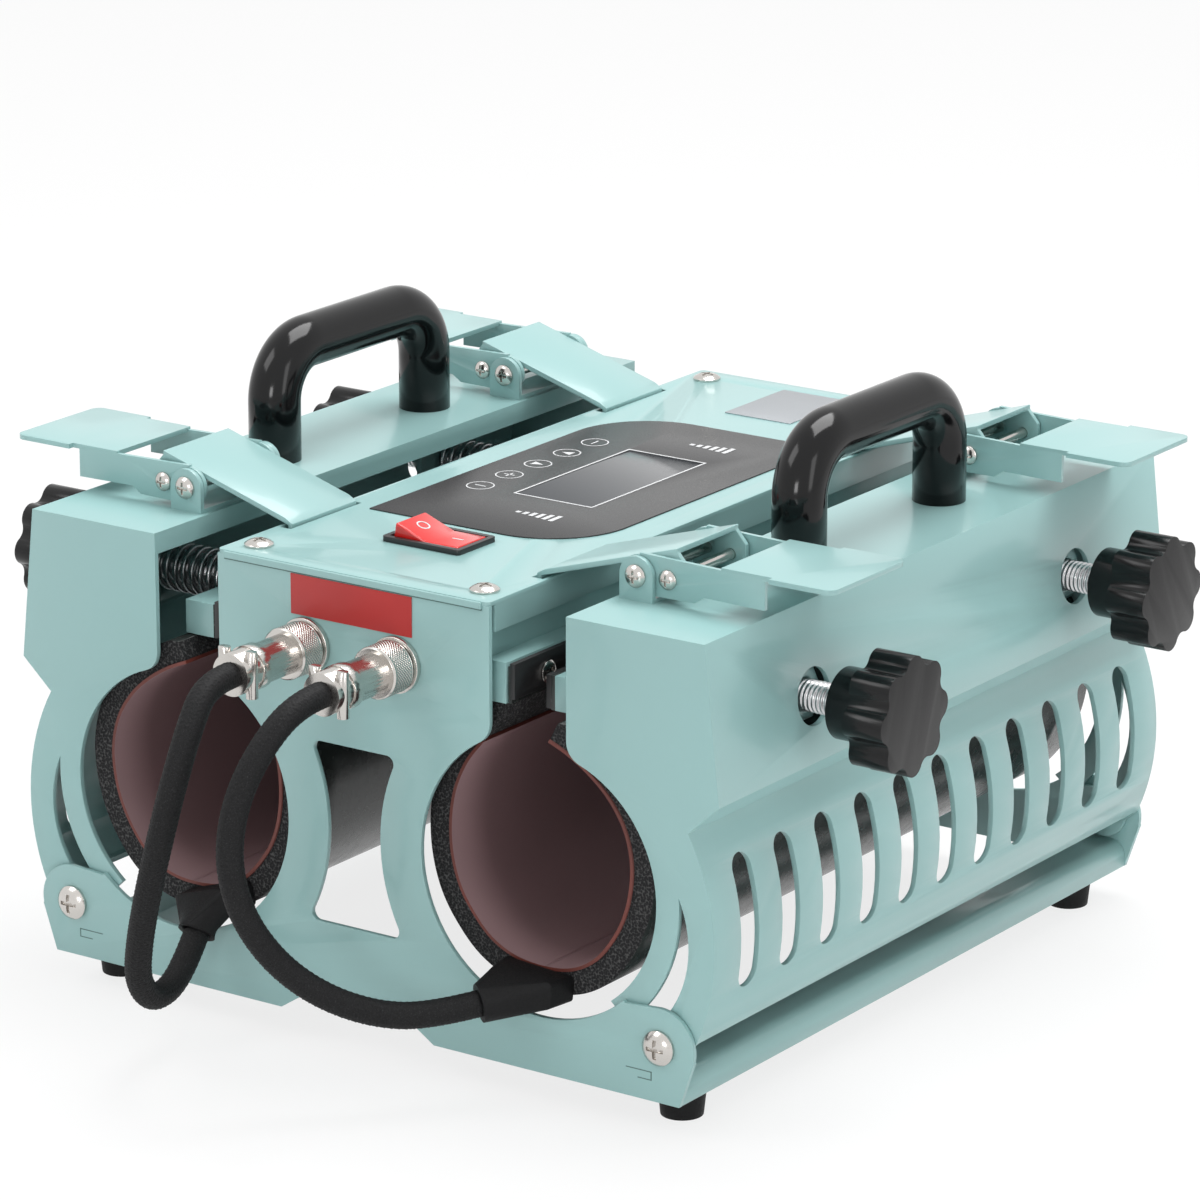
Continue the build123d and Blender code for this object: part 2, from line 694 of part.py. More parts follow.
def door_flange(near):
    close = [
        Line((HEM_X, HEM_Z), (HINGE_X + DOOR_LOBE * 0.9, HINGE_Z - 2)),
        Line((HINGE_X + DOOR_LOBE * 0.9, HINGE_Z - 2), (HINGE_X - DOOR_LOBE, HINGE_Z)),
        Line((HINGE_X - DOOR_LOBE, HINGE_Z), (DOOR_ARC_X + 20, DOOR_ARC_Z - 30)),
        Line((DOOR_ARC_X + 20, DOOR_ARC_Z - 30), (DOOR_INNER_X, DOOR_ARC_Z)),
        Line((DOOR_INNER_X, DOOR_ARC_Z), (DOOR_INNER_X, DOOR_TOP)),
    ]
    face = make_face(skin_outline() + close)
    face -= disc(DOOR_ARC_X, DOOR_ARC_Z, DOOR_ARC_RADIUS)
    face += disc(HINGE_X, HINGE_Z, DOOR_LOBE)
    corner_z = DOOR_ARC_Z + math.sqrt(DOOR_ARC_RADIUS**2 - (DOOR_INNER_X - DOOR_ARC_X) ** 2)
    face = near_corners(face, [(DOOR_INNER_X, corner_z)], DOOR_CORNER)
    crescent = disc(STEP_X - 41, BULGE_Z - 4, 41.5)
    crescent -= disc(DOOR_ARC_X, DOOR_ARC_Z, DOOR_ARC_RADIUS + CRESCENT_BAND)
    crescent -= oblong(0, 200, 0, HINGE_Z + DOOR_LOBE + 1)
    face -= crescent
    face -= disc(HINGE_X, HINGE_Z, HINGE_SHANK + RUNNING)
    return profile(face, near, near + SHEET)


near = SHEET + FLANGE_GAP
door = door_skin() + door_flange(near) + door_flange(DEPTH - near - SHEET)
save("door_shell_right", door)
save("door_shell_left", across(door))


# Nut brackets inside the doors, with the weld nuts that the studs turn in

def nut_bracket(depth):
    reach = BRACKET_WIDTH / 2
    low = stud_z - NUT_FLATS * 0.75
    ceiling = DOOR_TOP - SHEET
    near, far = depth - reach, depth + reach
    leg = block(BRACKET_X, BRACKET_X + BRACKET_SHEET, near, far, low, ceiling)
    foot_plate = block(
        BRACKET_X - 14, BRACKET_X + BRACKET_SHEET, near, far, ceiling - BRACKET_SHEET, ceiling
    )
    hexagon = Plane.YZ * RegularPolygon(NUT_FLATS / 2 / math.cos(math.pi / 6), 6)
    nut = Pos(BRACKET_X + BRACKET_SHEET, back(depth), up(stud_z)) * extrude(hexagon, NUT_THICK)
    bore = rod_x(depth, stud_z, STUD_RADIUS + RUNNING, BRACKET_X - 1, BRACKET_X + 20)
    return leg + foot_plate - bore, nut - bore


brackets = [piece for depth in STUD_Y for piece in nut_bracket(depth)]
save("nut_brackets_right", *brackets)
save("nut_brackets_left", *[across(b) for b in brackets])


# Springs round the studs

def spring_point(turn, start, pitch):
    angle = 2 * math.pi * turn
    return Vector(
        start - pitch * turn, SPRING_RADIUS * math.cos(angle), SPRING_RADIUS * math.sin(angle)
    )


def spring_tangent(turn, pitch):
    angle = 2 * math.pi * turn
    speed = 2 * math.pi * SPRING_RADIUS
    return Vector(-pitch, -speed * math.sin(angle), speed * math.cos(angle)).normalized()


def biarc(p0, t0, p1, t1):
    """Two arcs that leave one place along one direction and reach another along another."""
    v = p1 - p0
    a = 2 - 2 * t0.dot(t1)
    b = 2 * v.dot(t0 + t1)
    c = -v.dot(v)
    d = (-b + math.sqrt(b * b - 4 * a * c)) / (2 * a)
    q0 = p0 + t0 * d
    q1 = p1 - t1 * d
    joint = (q0 + q1) * 0.5
    return [
        TangentArc(p0, joint, tangent=t0),
        TangentArc(joint, p1, tangent=(q1 - q0).normalized()),
    ]


spring_start = BRACKET_X - CLEAR - SPRING_WIRE
spring_end = bar_face + 2.6 + SPRING_WIRE
spring_pitch = (spring_start - spring_end) / SPRING_TURNS


def spring(depth):
    arcs = []
    halves = 2 * SPRING_TURNS
    for i in range(halves):
        a, b = i / 2, (i + 1) / 2
        arcs += biarc(
            spring_point(a, spring_start, spring_pitch),
            spring_tangent(a, spring_pitch),
            spring_point(b, spring_start, spring_pitch),
            spring_tangent(b, spring_pitch),
        )
    path = Wire([arc.edge() for arc in arcs])
    begin = Plane(origin=path @ 0, z_dir=path % 0)
    coil = sweep(begin * Circle(SPRING_WIRE), path=path)
    return Pos(0, back(depth), up(stud_z)) * coil


def least_gap():
    """Least distance from one place on a coil's first turn to the turns after it."""
    steps = 72
    first = [spring_point(i / steps, spring_start, spring_pitch) for i in range(steps)]
    rest = [spring_point(i / steps, spring_start, spring_pitch) for i in range(steps // 2, 3 * steps)]
    far = [
        (p - q).length
        for i, p in enumerate(first)
        for j, q in enumerate(rest)
        if j + steps // 2 - i > steps // 2
    ]
    return min(far) - 2 * SPRING_WIRE


springs = [spring(depth) for depth in STUD_Y]
print("least gap of a spring to itself", round(least_gap(), 2))
save("springs_right", *springs)
save("springs_left", *[across(s) for s in springs])


# Handles

def handle():
    near = DEPTH / 2 - HANDLE_SPAN / 2
    far = DEPTH / 2 + HANDLE_SPAN / 2
    crown = DOOR_TOP + HANDLE_RISE - HANDLE_RADIUS
    route = FilletPolyline(
        (HANDLE_X, back(near), up(DOOR_TOP)),
        (HANDLE_X, back(near), up(crown)),
        (HANDLE_X, back(far), up(crown)),
        (HANDLE_X, back(far), up(DOOR_TOP)),
        radius=HANDLE_BEND,
    )
    section = Plane(origin=route @ 0, z_dir=(0, 0, 1)) * Circle(HANDLE_RADIUS)
    return sweep(section, path=route)


grip = handle()
save("handle_right", grip)
save("handle_left", across(grip))


# Toggle latches

def bracket(depth):
    half = EAR_WIDTH / 2
    ear = oblong(PIN_X - half, PIN_X + half, DOOR_TOP, PIN_Z) + disc(PIN_X, PIN_Z, half)
    ear -= disc(PIN_X, PIN_Z, PIN_RADIUS + RUNNING)
    base = oblong(PIN_X - half, PIN_X + half, DOOR_TOP, DOOR_TOP + COVER_SHEET)
    near, far = depth - EAR_HALF, depth + EAR_HALF
    body = profile(ear, near, near + EAR_SHEET) + profile(ear, far - EAR_SHEET, far)
    body += profile(base, near, far)
    pin = rod_y(PIN_X, PIN_Z, PIN_RADIUS, near - 1, far + 1)
    head = Rot(90, 0, 0) * pan_head(4.2, 2.2)
    nut = profile(Pos(PIN_X, PIN_Z) * RegularPolygon(4.4, 6), far + 0.2, far + 3.2)
    pin += Pos(PIN_X, back(near), up(PIN_Z)) * head
    return body, pin + nut


def lever(depth):
    """Channel with two cheeks, a paddle and the pin that carries the hook."""
    pin2 = PIN_X + PIN_REACH
    cheek = shape(
        (PIN_X, PIN_Z - 7),
        (PIN_X, PIN_Z + 7.9),
        (PADDLE_ROOT, PADDLE_TOP - 0.9),
        (PADDLE_ROOT + 18, PADDLE_TOP - 0.9),
        (PADDLE_ROOT + 18, PIN_Z - 4.4),
        (PADDLE_ROOT - 7, PIN_Z - 4),
        (PADDLE_ROOT - 11, PIN_Z - 6.6),
    )
    cheek += disc(PIN_X, PIN_Z, 7.2)
    cheek -= disc(PIN_X, PIN_Z, PIN_RADIUS + RUNNING)
    near = depth - EAR_HALF + EAR_SHEET + CLEAR
    far = depth + EAR_HALF - EAR_SHEET - CLEAR
    body = profile(cheek, near, near + CHEEK_SHEET) + profile(cheek, far - CHEEK_SHEET, far)
    pad_low = PADDLE_TOP - 1.8
    inner = oblong(PADDLE_ROOT, PADDLE_X - 4, near, far)
    outer = oblong(PADDLE_ROOT + 21, PADDLE_X, depth - EAR_HALF, depth + EAR_HALF)
    corners = [(PADDLE_X, depth - EAR_HALF), (PADDLE_X, depth + EAR_HALF)]
    body += plan(inner + near_corners(outer, corners, 4.0), pad_low, PADDLE_TOP)
    body -= rod_y(pin2, PIN_Z, PIN_RADIUS - 0.2 + RUNNING, near - 1, far + 1)
    pin = rod_y(pin2, PIN_Z, PIN_RADIUS - 0.2, near - 0.5, far + 1)
    head = Rot(90, 0, 0) * pan_head(3.6, 2.0)
    nut = profile(Pos(pin2, PIN_Z) * RegularPolygon(3.8, 6), far + 0.2, far + 2.6)
    return body, pin + Pos(pin2, back(near), up(PIN_Z)) * head + nut


def hook(depth):
    """Plate that reaches from the lever's pin to the slot in the cover."""
    tip_out = HOOK_TIP_X + HOOK_SHEET
    tip_low = COVER_TOP - LIP_DEPTH
    plate = shape(
        (HOOK_BACK_X, HOOK_BACK_Z),
        (HOOK_TIP_X + 3.5, COVER_TOP + 3.1),
        (HOOK_TIP_X, COVER_TOP + 1.2),
        (HOOK_TIP_X, tip_low),
        (tip_out, tip_low),
        (tip_out, COVER_TOP + 0.4),
        (HOOK_TIP_X + 4.1, COVER_TOP + 1.1),
        (HOOK_BACK_X, HOOK_BACK_Z - 2.1),
    )
    pin2 = PIN_X + PIN_REACH
    lug = shape(
        (pin2 - 7.0, PIN_Z + 7.4),
        (HOOK_BACK_X, HOOK_BACK_Z - 1.5),
        (pin2 + 6.5, PIN_Z + 4.4),
        (pin2 + 6.5, PIN_Z - 3),
        (pin2 + 3, PIN_Z - 6),
        (pin2 - 4, PIN_Z - 6),
        (pin2 - 7.0, PIN_Z - 2),
    )
    lug -= disc(pin2, PIN_Z, PIN_RADIUS - 0.2 + RUNNING)
    near, far = depth - HOOK_HALF, depth + HOOK_HALF
    body = profile(plate, near, far)
    body += profile(lug, near, near + HOOK_SHEET) + profile(lug, far - HOOK_SHEET, far)
    return body


for side, flip in (("right", lambda s: s), ("left", across)):
    pieces = [flip(piece) for depth in LATCH_Y for piece in bracket(depth)]
    save(f"latch_brackets_{side}", *pieces)
    for name, depth in zip(NAMES_Y, LATCH_Y):
        save(f"lever_{name}_{side}", *[flip(piece) for piece in lever(depth)])
        save(f"hook_{name}_{side}", flip(hook(depth)))


# Mat cables: plug, hanging lead and moulded tail

def plug(x):
    ring = rod_y(x, SOCKET_Z, 9.7, -14, -2.6)
    ring -= rod_y(x, SOCKET_Z, 7.3, -9.3, -2)
    ring -= rod_y(x, SOCKET_Z, 7.6, -15, -9.2)
    barrel = rod_y(x, SOCKET_Z, 7.45, -30, -9.4) + rod_y(x, SOCKET_Z, 8.4, -35, -30)
    clamp = rod_y(x, SOCKET_Z, 7.8, -PLUG_LENGTH, -35)
    barrel += clamp
    for side in (1, -1):
        boss = Pos(x + side * 6, back(-PLUG_LENGTH + 4.5), up(SOCKET_Z)) * Cylinder(2.2, 17)
        barrel += boss
    return ring, barrel


def place(x, depth, height):
    return Vector(x, back(depth), up(height))


RIGHT_ROUTE = [
    place(SOCKET_X, -PLUG_LENGTH, SOCKET_Z),
    place(SOCKET_X, -58, SOCKET_Z),
    place(16, -72, 129),
    place(11, -81, 111),
    place(9, -84, 90),
    place(11, -80, 69),
    place(17, -70, 50),
    place(27, -58, 36),
    place(40, -44, 27),
    place(53, -29, 24),
    place(65, -TAIL_REACH, 27),
]
LEFT_ROUTE = [
    place(-SOCKET_X, -PLUG_LENGTH, SOCKET_Z),
    place(-SOCKET_X, -58, SOCKET_Z),
    place(-18, -70, 128),
    place(-20, -77, 109),
    place(-26, -78, 87),
    place(-36, -73, 64),
    place(-46, -66, 42),
    place(-54, -58, 24),
    place(-58, -46, 12),
    place(-60, -33, 11),
    place(-61, -22, 18),
    place(-62, -TAIL_REACH, 27),
]


def cable(points, name):
    """Straight runs joined by the largest arcs that the runs leave room for."""
    radii = []
    for a, b, c in zip(points, points[1:], points[2:]):
        turn = math.radians((b - a).get_angle(c - b))
        run = min((b - a).length, (c - b).length)
        radii.append(0.45 * run / math.tan(turn / 2))
    path = FilletPolyline(*points, radius=radii)
    section = Plane(origin=points[0], z_dir=points[1] - points[0]) * Circle(CABLE_RADIUS)
    tube = sweep(section, path=path)
    volume = math.pi * CABLE_RADIUS**2 * path.length
    print(name, "length", round(path.length, 1), "volume ratio", round(tube.volume / volume, 4))
    print(name, "radii", [round(r) for r in radii])
    return tube


def tail(points, mat_x, turn):
    """Moulded end of the mat: a flat block that tapers to the round lead."""
    reach = MAT_INNER + HEATER + FOAM * 0.45
    sine = math.sin(math.radians(turn))
    cosine = math.cos(math.radians(turn))
    origin = (mat_x + reach * sine, back(MAT_FRONT - CLEAR), up(MAT_Z - reach * cosine))
    flat = Plane(origin=origin, x_dir=(cosine, 0, sine), z_dir=(0, -1, 0))
    wide = flat * RectangleRounded(30, 10, 2)
    waist = flat.offset(11) * RectangleRounded(26, 10.5, 2)
    end = Plane(origin=points[-1], x_dir=(1, 0, 0), z_dir=points[-2] - points[-1])
    neck = end * RectangleRounded(4 * CABLE_RADIUS * 0.7, 4 * CABLE_RADIUS * 0.7, 6.9)
    return loft([wide, waist]) + loft([waist, neck])


for side, points, sign, turn in (("right", RIGHT_ROUTE, 1, -4), ("left", LEFT_ROUTE, -1, 18)):
    save(f"cable_{side}", cable(points, side))
    save(f"mat_tail_{side}", tail(points, sign * MAT_X, turn))
    save(f"plug_{side}", *plug(sign * SOCKET_X))
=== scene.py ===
import math

import bmesh
import bpy
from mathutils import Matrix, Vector


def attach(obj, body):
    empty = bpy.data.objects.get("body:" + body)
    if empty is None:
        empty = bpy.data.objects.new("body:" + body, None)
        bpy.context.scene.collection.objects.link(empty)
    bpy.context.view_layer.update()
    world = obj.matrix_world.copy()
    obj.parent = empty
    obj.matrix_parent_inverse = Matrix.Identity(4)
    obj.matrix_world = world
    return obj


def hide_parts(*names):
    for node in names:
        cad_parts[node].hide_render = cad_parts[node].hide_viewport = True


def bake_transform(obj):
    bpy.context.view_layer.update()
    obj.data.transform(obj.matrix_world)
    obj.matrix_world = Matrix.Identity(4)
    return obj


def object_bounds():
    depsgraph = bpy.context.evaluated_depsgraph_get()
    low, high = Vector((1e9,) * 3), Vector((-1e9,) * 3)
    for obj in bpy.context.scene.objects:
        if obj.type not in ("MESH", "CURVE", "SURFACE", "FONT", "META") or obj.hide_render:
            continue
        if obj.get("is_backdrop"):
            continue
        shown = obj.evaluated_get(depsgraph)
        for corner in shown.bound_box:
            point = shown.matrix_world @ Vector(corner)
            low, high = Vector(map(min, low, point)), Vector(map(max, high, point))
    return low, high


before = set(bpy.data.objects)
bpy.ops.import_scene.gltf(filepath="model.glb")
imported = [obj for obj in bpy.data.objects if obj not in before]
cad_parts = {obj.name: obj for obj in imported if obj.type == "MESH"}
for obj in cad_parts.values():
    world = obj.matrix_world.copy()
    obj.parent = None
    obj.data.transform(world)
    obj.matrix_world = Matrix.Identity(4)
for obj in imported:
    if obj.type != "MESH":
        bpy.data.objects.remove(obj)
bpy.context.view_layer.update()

MM = 0.001
DEPTH = 312.0
BACK_SHIFT = 0.625
FOOT_HEIGHT = 12.0


def at(x, depth, height):
    """A place in metres from millimetres right, back from the front plate and above the base."""
    return Vector((x, depth - DEPTH / 2 + BACK_SHIFT, height + FOOT_HEIGHT)) * MM


# Materials

def shader(name, color, roughness, metallic=0.0, coat=0.0, specular=0.5):
    mat = bpy.data.materials.new(name)
    mat.use_nodes = True
    bsdf = mat.node_tree.nodes["Principled BSDF"]
    bsdf.inputs["Base Color"].default_value = (*color, 1)
    bsdf.inputs["Roughness"].default_value = roughness
    bsdf.inputs["Metallic"].default_value = metallic
    bsdf.inputs["Coat Weight"].default_value = coat
    bsdf.inputs["Coat Roughness"].default_value = 0.06
    bsdf.inputs["Specular IOR Level"].default_value = specular
    return mat, mat.node_tree, bsdf


def link(tree, a, out, b, into):
    tree.links.new(a.outputs[out], b.inputs[into])


def noise(tree, scale, detail=3.0, roughness=0.5, stretch=None):
    coords = tree.nodes.new("ShaderNodeTexCoord")
    tex = tree.nodes.new("ShaderNodeTexNoise")
    tex.inputs["Scale"].default_value = scale
    tex.inputs["Detail"].default_value = detail
    tex.inputs["Roughness"].default_value = roughness
    if stretch:
        mapping = tree.nodes.new("ShaderNodeMapping")
        mapping.inputs["Scale"].default_value = stretch
        link(tree, coords, "Object", mapping, "Vector")
        link(tree, mapping, "Vector", tex, "Vector")
    else:
        link(tree, coords, "Object", tex, "Vector")
    return tex


def ramp(tree, source, out, stops):
    node = tree.nodes.new("ShaderNodeValToRGB")
    node.color_ramp.elements[0].position = stops[0][0]
    node.color_ramp.elements[0].color = (*stops[0][1], 1)
    node.color_ramp.elements[1].position = stops[-1][0]
    node.color_ramp.elements[1].color = (*stops[-1][1], 1)
    for place, color in stops[1:-1]:
        node.color_ramp.elements.new(place).color = (*color, 1)
    link(tree, source, out, node, "Fac")
    return node


def spread(tree, source, out, low, high, bsdf, into):
    """Maps a texture's middle range onto a shader input's range."""
    node = tree.nodes.new("ShaderNodeMapRange")
    node.inputs["From Min"].default_value = 0.3
    node.inputs["From Max"].default_value = 0.7
    node.inputs["To Min"].default_value = low
    node.inputs["To Max"].default_value = high
    link(tree, source, out, node, "Value")
    link(tree, node, "Result", bsdf, into)


def bump(tree, source, out, bsdf, strength, distance):
    node = tree.nodes.new("ShaderNodeBump")
    node.inputs["Strength"].default_value = strength
    node.inputs["Distance"].default_value = distance
    link(tree, source, out, node, "Height")
    link(tree, node, "Normal", bsdf, "Normal")


def grained(
    name, color, roughness, scale, vary=0.04, strength=0.1, depth=0.0002, uneven=0.15, **extra
):
    """A finish whose colour, roughness and surface all waver a little."""
    mat, tree, bsdf = shader(name, color, roughness, **extra)
    broad = noise(tree, scale * 0.04, 2.0)
    fine = noise(tree, scale, 4.0)
    dark = tuple(c * (1 - vary) for c in color)
    light = tuple(min(1.0, c * (1 + vary)) for c in color)
    tint = ramp(tree, broad, "Fac", [(0.3, dark), (0.7, light)])
    link(tree, tint, "Color", bsdf, "Base Color")
    smooth, rough = roughness * (1 - uneven), min(1.0, roughness * (1 + uneven))
    spread(tree, fine, "Fac", smooth, rough, bsdf, "Roughness")
    bump(tree, fine, "Fac", bsdf, strength, depth)
    return mat


def brushed(name, color, roughness, stretch):
    mat, tree, bsdf = shader(name, color, roughness, metallic=1.0)
    lines = noise(tree, 900.0, 4.0, 0.6, stretch)
    spread(tree, lines, "Fac", roughness * 0.7, roughness * 1.4, bsdf, "Roughness")
    bump(tree, lines, "Fac", bsdf, 0.15, 0.0001)
    return mat


def foam_finish():
    """Closed-cell foam cut through: black, with pale broken cells."""
    mat, tree, bsdf = shader("cut_foam", (0.02, 0.02, 0.02), 0.85, specular=0.25)
    coords = tree.nodes.new("ShaderNodeTexCoord")
    cells = tree.nodes.new("ShaderNodeTexVoronoi")
    cells.inputs["Scale"].default_value = 1150.0
    link(tree, coords, "Object", cells, "Vector")
    tint = ramp(
        tree,
        cells,
        "Distance",
        [(0.0, (0.008, 0.008, 0.009)), (0.5, (0.016, 0.016, 0.017)), (0.85, (0.075, 0.075, 0.075))],
    )
    link(tree, tint, "Color", bsdf, "Base Color")
    bump(tree, cells, "Distance", bsdf, 0.7, 0.0005)
    return mat


def silicone_finish():
    """Heater sheet: brown-mauve silicone with the print of its glass cloth."""
    color = (0.20, 0.125, 0.130)
    mat, tree, bsdf = shader("heater_silicone", color, 0.62, specular=0.18)
    cloth = noise(tree, 2600.0, 2.0, 0.6)
    broad = noise(tree, 14.0, 2.0)
    tint = ramp(tree, broad, "Fac", [(0.3, (0.188, 0.117, 0.122)), (0.7, (0.212, 0.133, 0.138))])
    link(tree, tint, "Color", bsdf, "Base Color")
    spread(tree, cloth, "Fac", 0.56, 0.7, bsdf, "Roughness")
    bump(tree, cloth, "Fac", bsdf, 0.2, 0.0001)
    return mat


PAINT_COLOR = (0.285, 0.475, 0.468)
PAINT = grained(
    "mint_paint", PAINT_COLOR, 0.30, 420.0, vary=0.010, strength=0.006, depth=0.00001,
    uneven=0.015, coat=0.2,
)
BLACK = grained(
    "black_enamel", (0.003, 0.003, 0.0034), 0.13, 90.0, vary=0.1, strength=0.01, specular=0.32
)
BAKELITE = grained(
    "black_moulding", (0.003, 0.003, 0.0034), 0.22, 160.0, vary=0.1, strength=0.02, specular=0.32
)
PLASTIC = grained("black_plastic", (0.012, 0.012, 0.013), 0.35, 1500.0, strength=0.15)
RUBBER = grained(
    "black_rubber", (0.006, 0.006, 0.0065), 0.6, 1300.0, vary=0.15, strength=0.3, specular=0.2
)
CHROME = grained(
    "nickel_plate", (0.60, 0.575, 0.545), 0.20, 700.0, vary=0.06, strength=0.05, metallic=1.0
)
STEEL = brushed("bright_steel", (0.60, 0.60, 0.61), 0.28, (1.0, 6.0, 6.0))
STRIP = grained("black_strip", (0.02, 0.02, 0.021), 0.4, 800.0, strength=0.15)
FOAM = foam_finish()
SILICONE = silicone_finish()
EDGE = grained("heater_edge", (0.125, 0.026, 0.018), 0.5, 900.0, vary=0.2, strength=0.3)
BACKING = grained("mat_backing", (0.035, 0.04, 0.038), 0.26, 260.0, vary=0.12, strength=0.12)
OVERLAY = grained("panel_film", (0.010, 0.010, 0.011), 0.30, 1800.0, strength=0.1)
WHITE_INK = grained("white_print", (0.62, 0.63, 0.64), 0.45, 1500.0, strength=0.05)
SCREEN = grained("screen_glass", (0.035, 0.040, 0.046), 0.12, 400.0, vary=0.1, strength=0.02)
RED = grained("red_key", (0.62, 0.008, 0.006), 0.16, 300.0, vary=0.1, strength=0.03, coat=0.5)
RED_FILM = grained("red_film", (0.42, 0.020, 0.018), 0.35, 900.0, vary=0.06, strength=0.06)
GREY_FILM = brushed("grey_foil", (0.42, 0.44, 0.46), 0.42, (1.0, 8.0, 1.0))
BOARD = grained("circuit_board", (0.02, 0.10, 0.04), 0.5, 600.0, vary=0.2)


# Mesh helpers

def add_object(name, mesh, materials, body):
    obj = bpy.data.objects.new(name, mesh)
    bpy.context.scene.collection.objects.link(obj)
    for mat in materials:
        mesh.materials.append(mat)
    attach(obj, body)
    return obj


def soften(obj, width, segments=2, angle=32.0):
    """Rounds the sharp edges of a piece by a real bevel."""
    mod = obj.modifiers.new("edge", "BEVEL")
    mod.width = width * MM
    mod.segments = segments
    mod.limit_method = "ANGLE"
    mod.angle_limit = math.radians(angle)
    mod.harden_normals = True
    return obj


def loose_parts(bm):
    """Lists of the faces of each separate solid."""
    seen = set()
    groups = []
    bm.faces.ensure_lookup_table()
    for face in bm.faces:
        if face.index in seen:
            continue
        stack = [face]
        seen.add(face.index)
        group = []
        while stack:
            here = stack.pop()
            group.append(here)
            for edge in here.edges:
                for other in edge.link_faces:
                    if other.index not in seen:
                        seen.add(other.index)
                        stack.append(other)
        groups.append(group)
    return groups


def dress(node, body, materials, choose=None, width=0.35, segments=2):
    """A piece with soft edges in place of a rigid CAD node, finished solid by solid."""
    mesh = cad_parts[node].data.copy()
    mesh.materials.clear()
    bm = bmesh.new()
    bm.from_mesh(mesh)
    bmesh.ops.remove_doubles(bm, verts=bm.verts, dist=1e-6)
    for face in bm.faces:
        face.smooth = True
    drop = []
    for group in loose_parts(bm):
        verts = {v for f in group for v in f.verts}
        low = [min(v.co[i] for v in verts) for i in range(3)]
        high = [max(v.co[i] for v in verts) for i in range(3)]
        size = [(b - a) / MM for a, b in zip(low, high)]
        index = choose(size) if choose else 0
        if index is None:
            drop += list(verts)
            continue
        for face in group:
            face.material_index = index
    bmesh.ops.delete(bm, geom=drop, context="VERTS")
    flat = [e for e in bm.edges if e.is_manifold and e.calc_face_angle(0) < 0.004]
    bmesh.ops.dissolve_edges(bm, edges=flat, use_verts=False)
    bm.to_mesh(mesh)
    bm.free()
    mesh.name = f"dressed_{node}"
    obj = add_object(f"dressed_{node}", mesh, materials, body)
    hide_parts(node)
    if width:
        soften(obj, width, segments)
    return obj


def tube(name, points, radius, sides, body, mat, wave=None):
    """A round tube along points, its radius changed by wave(distance, angle)."""
    bm = bmesh.new()
    normal = None
    rows = []
    distance = 0.0
    for i, p in enumerate(points):
        ahead = points[min(i + 1, len(points) - 1)]
        behind = points[max(i - 1, 0)]
        tangent = (ahead - behind).normalized()
        if normal is None:
            normal = tangent.orthogonal().normalized()
        normal = (normal - tangent * normal.dot(tangent)).normalized()
        side = tangent.cross(normal)
        if i:
            distance += (p - points[i - 1]).length
        row = []
        for k in range(sides):
            angle = 2 * math.pi * k / sides
            r = radius * MM + (wave(distance, angle) if wave else 0.0)
            row.append(bm.verts.new(p + (normal * math.cos(angle) + side * math.sin(angle)) * r))
        rows.append(row)
    for a, b in zip(rows, rows[1:]):
        for k in range(sides):
            bm.faces.new((a[k], a[(k + 1) % sides], b[(k + 1) % sides], b[k]))
    bm.faces.new(reversed(rows[0]))
    bm.faces.new(rows[-1])
    bmesh.ops.recalc_face_normals(bm, faces=bm.faces)
    for face in bm.faces:
        face.smooth = len(face.verts) == 4
    mesh = bpy.data.meshes.new(name)
    bm.to_mesh(mesh)
    bm.free()
    return add_object(name, mesh, [mat], body)


# Camera and light

AZIMUTH, ELEVATION = math.radians(34.77), math.radians(16.70)
DISTANCE = 2.190
LENS = 174.594
SHIFT = -0.003
TARGET = Vector((0.0, 0.001015, 0.13409))
camera = bpy.data.objects.new("camera", bpy.data.cameras.new("camera"))
bpy.context.scene.collection.objects.link(camera)
bpy.context.scene.camera = camera
camera.location = TARGET + DISTANCE * Vector(
    (
        math.sin(AZIMUTH) * math.cos(ELEVATION),
        -math.cos(AZIMUTH) * math.cos(ELEVATION),
        math.sin(ELEVATION),
    )
)
camera.rotation_euler = (TARGET - camera.location).to_track_quat("-Z", "Y").to_euler()
camera.data.sensor_width = 36.0
camera.data.lens = LENS
camera.data.shift_x = SHIFT
camera.data.clip_end = 20.0


def area_light(name, place, aim, size, energy):
    lamp = bpy.data.objects.new(name, bpy.data.lights.new(name, "AREA"))
    lamp.data.shape = "RECTANGLE"
    lamp.data.size, lamp.data.size_y = size
    lamp.data.energy = energy
    lamp.location = place
    lamp.rotation_euler = (Vector(aim) - lamp.location).to_track_quat("-Z", "Y").to_euler()
    bpy.context.scene.collection.objects.link(lamp)


area_light("key", Vector((-1.0, -1.2, 1.7)), (0, 0, 0.1), (0.9, 0.9), 8.5)
area_light("side", Vector((1.9, -0.6, 0.8)), (0, 0, 0.1), (0.5, 1.3), 5)
area_light("top", Vector((0.2, 0.5, 1.9)), (0, 0, 0.1), (1.2, 1.2), 32)
area_light("front", Vector((0.7, -2.2, 0.55)), (0, 0, 0.08), (0.5, 0.5), 7)


def seen_rays(tree):
    """One for rays from the camera, from gloss and through glass, and zero for the rest."""
    paths = tree.nodes.new("ShaderNodeLightPath")
    first = tree.nodes.new("ShaderNodeMath")
    first.operation = "ADD"
    link(tree, paths, "Is Camera Ray", first, 0)
    link(tree, paths, "Is Glossy Ray", first, 1)
    both = tree.nodes.new("ShaderNodeMath")
    both.operation = "ADD"
    both.use_clamp = True
    link(tree, first, "Value", both, 0)
    link(tree, paths, "Is Transmission Ray", both, 1)
    return both


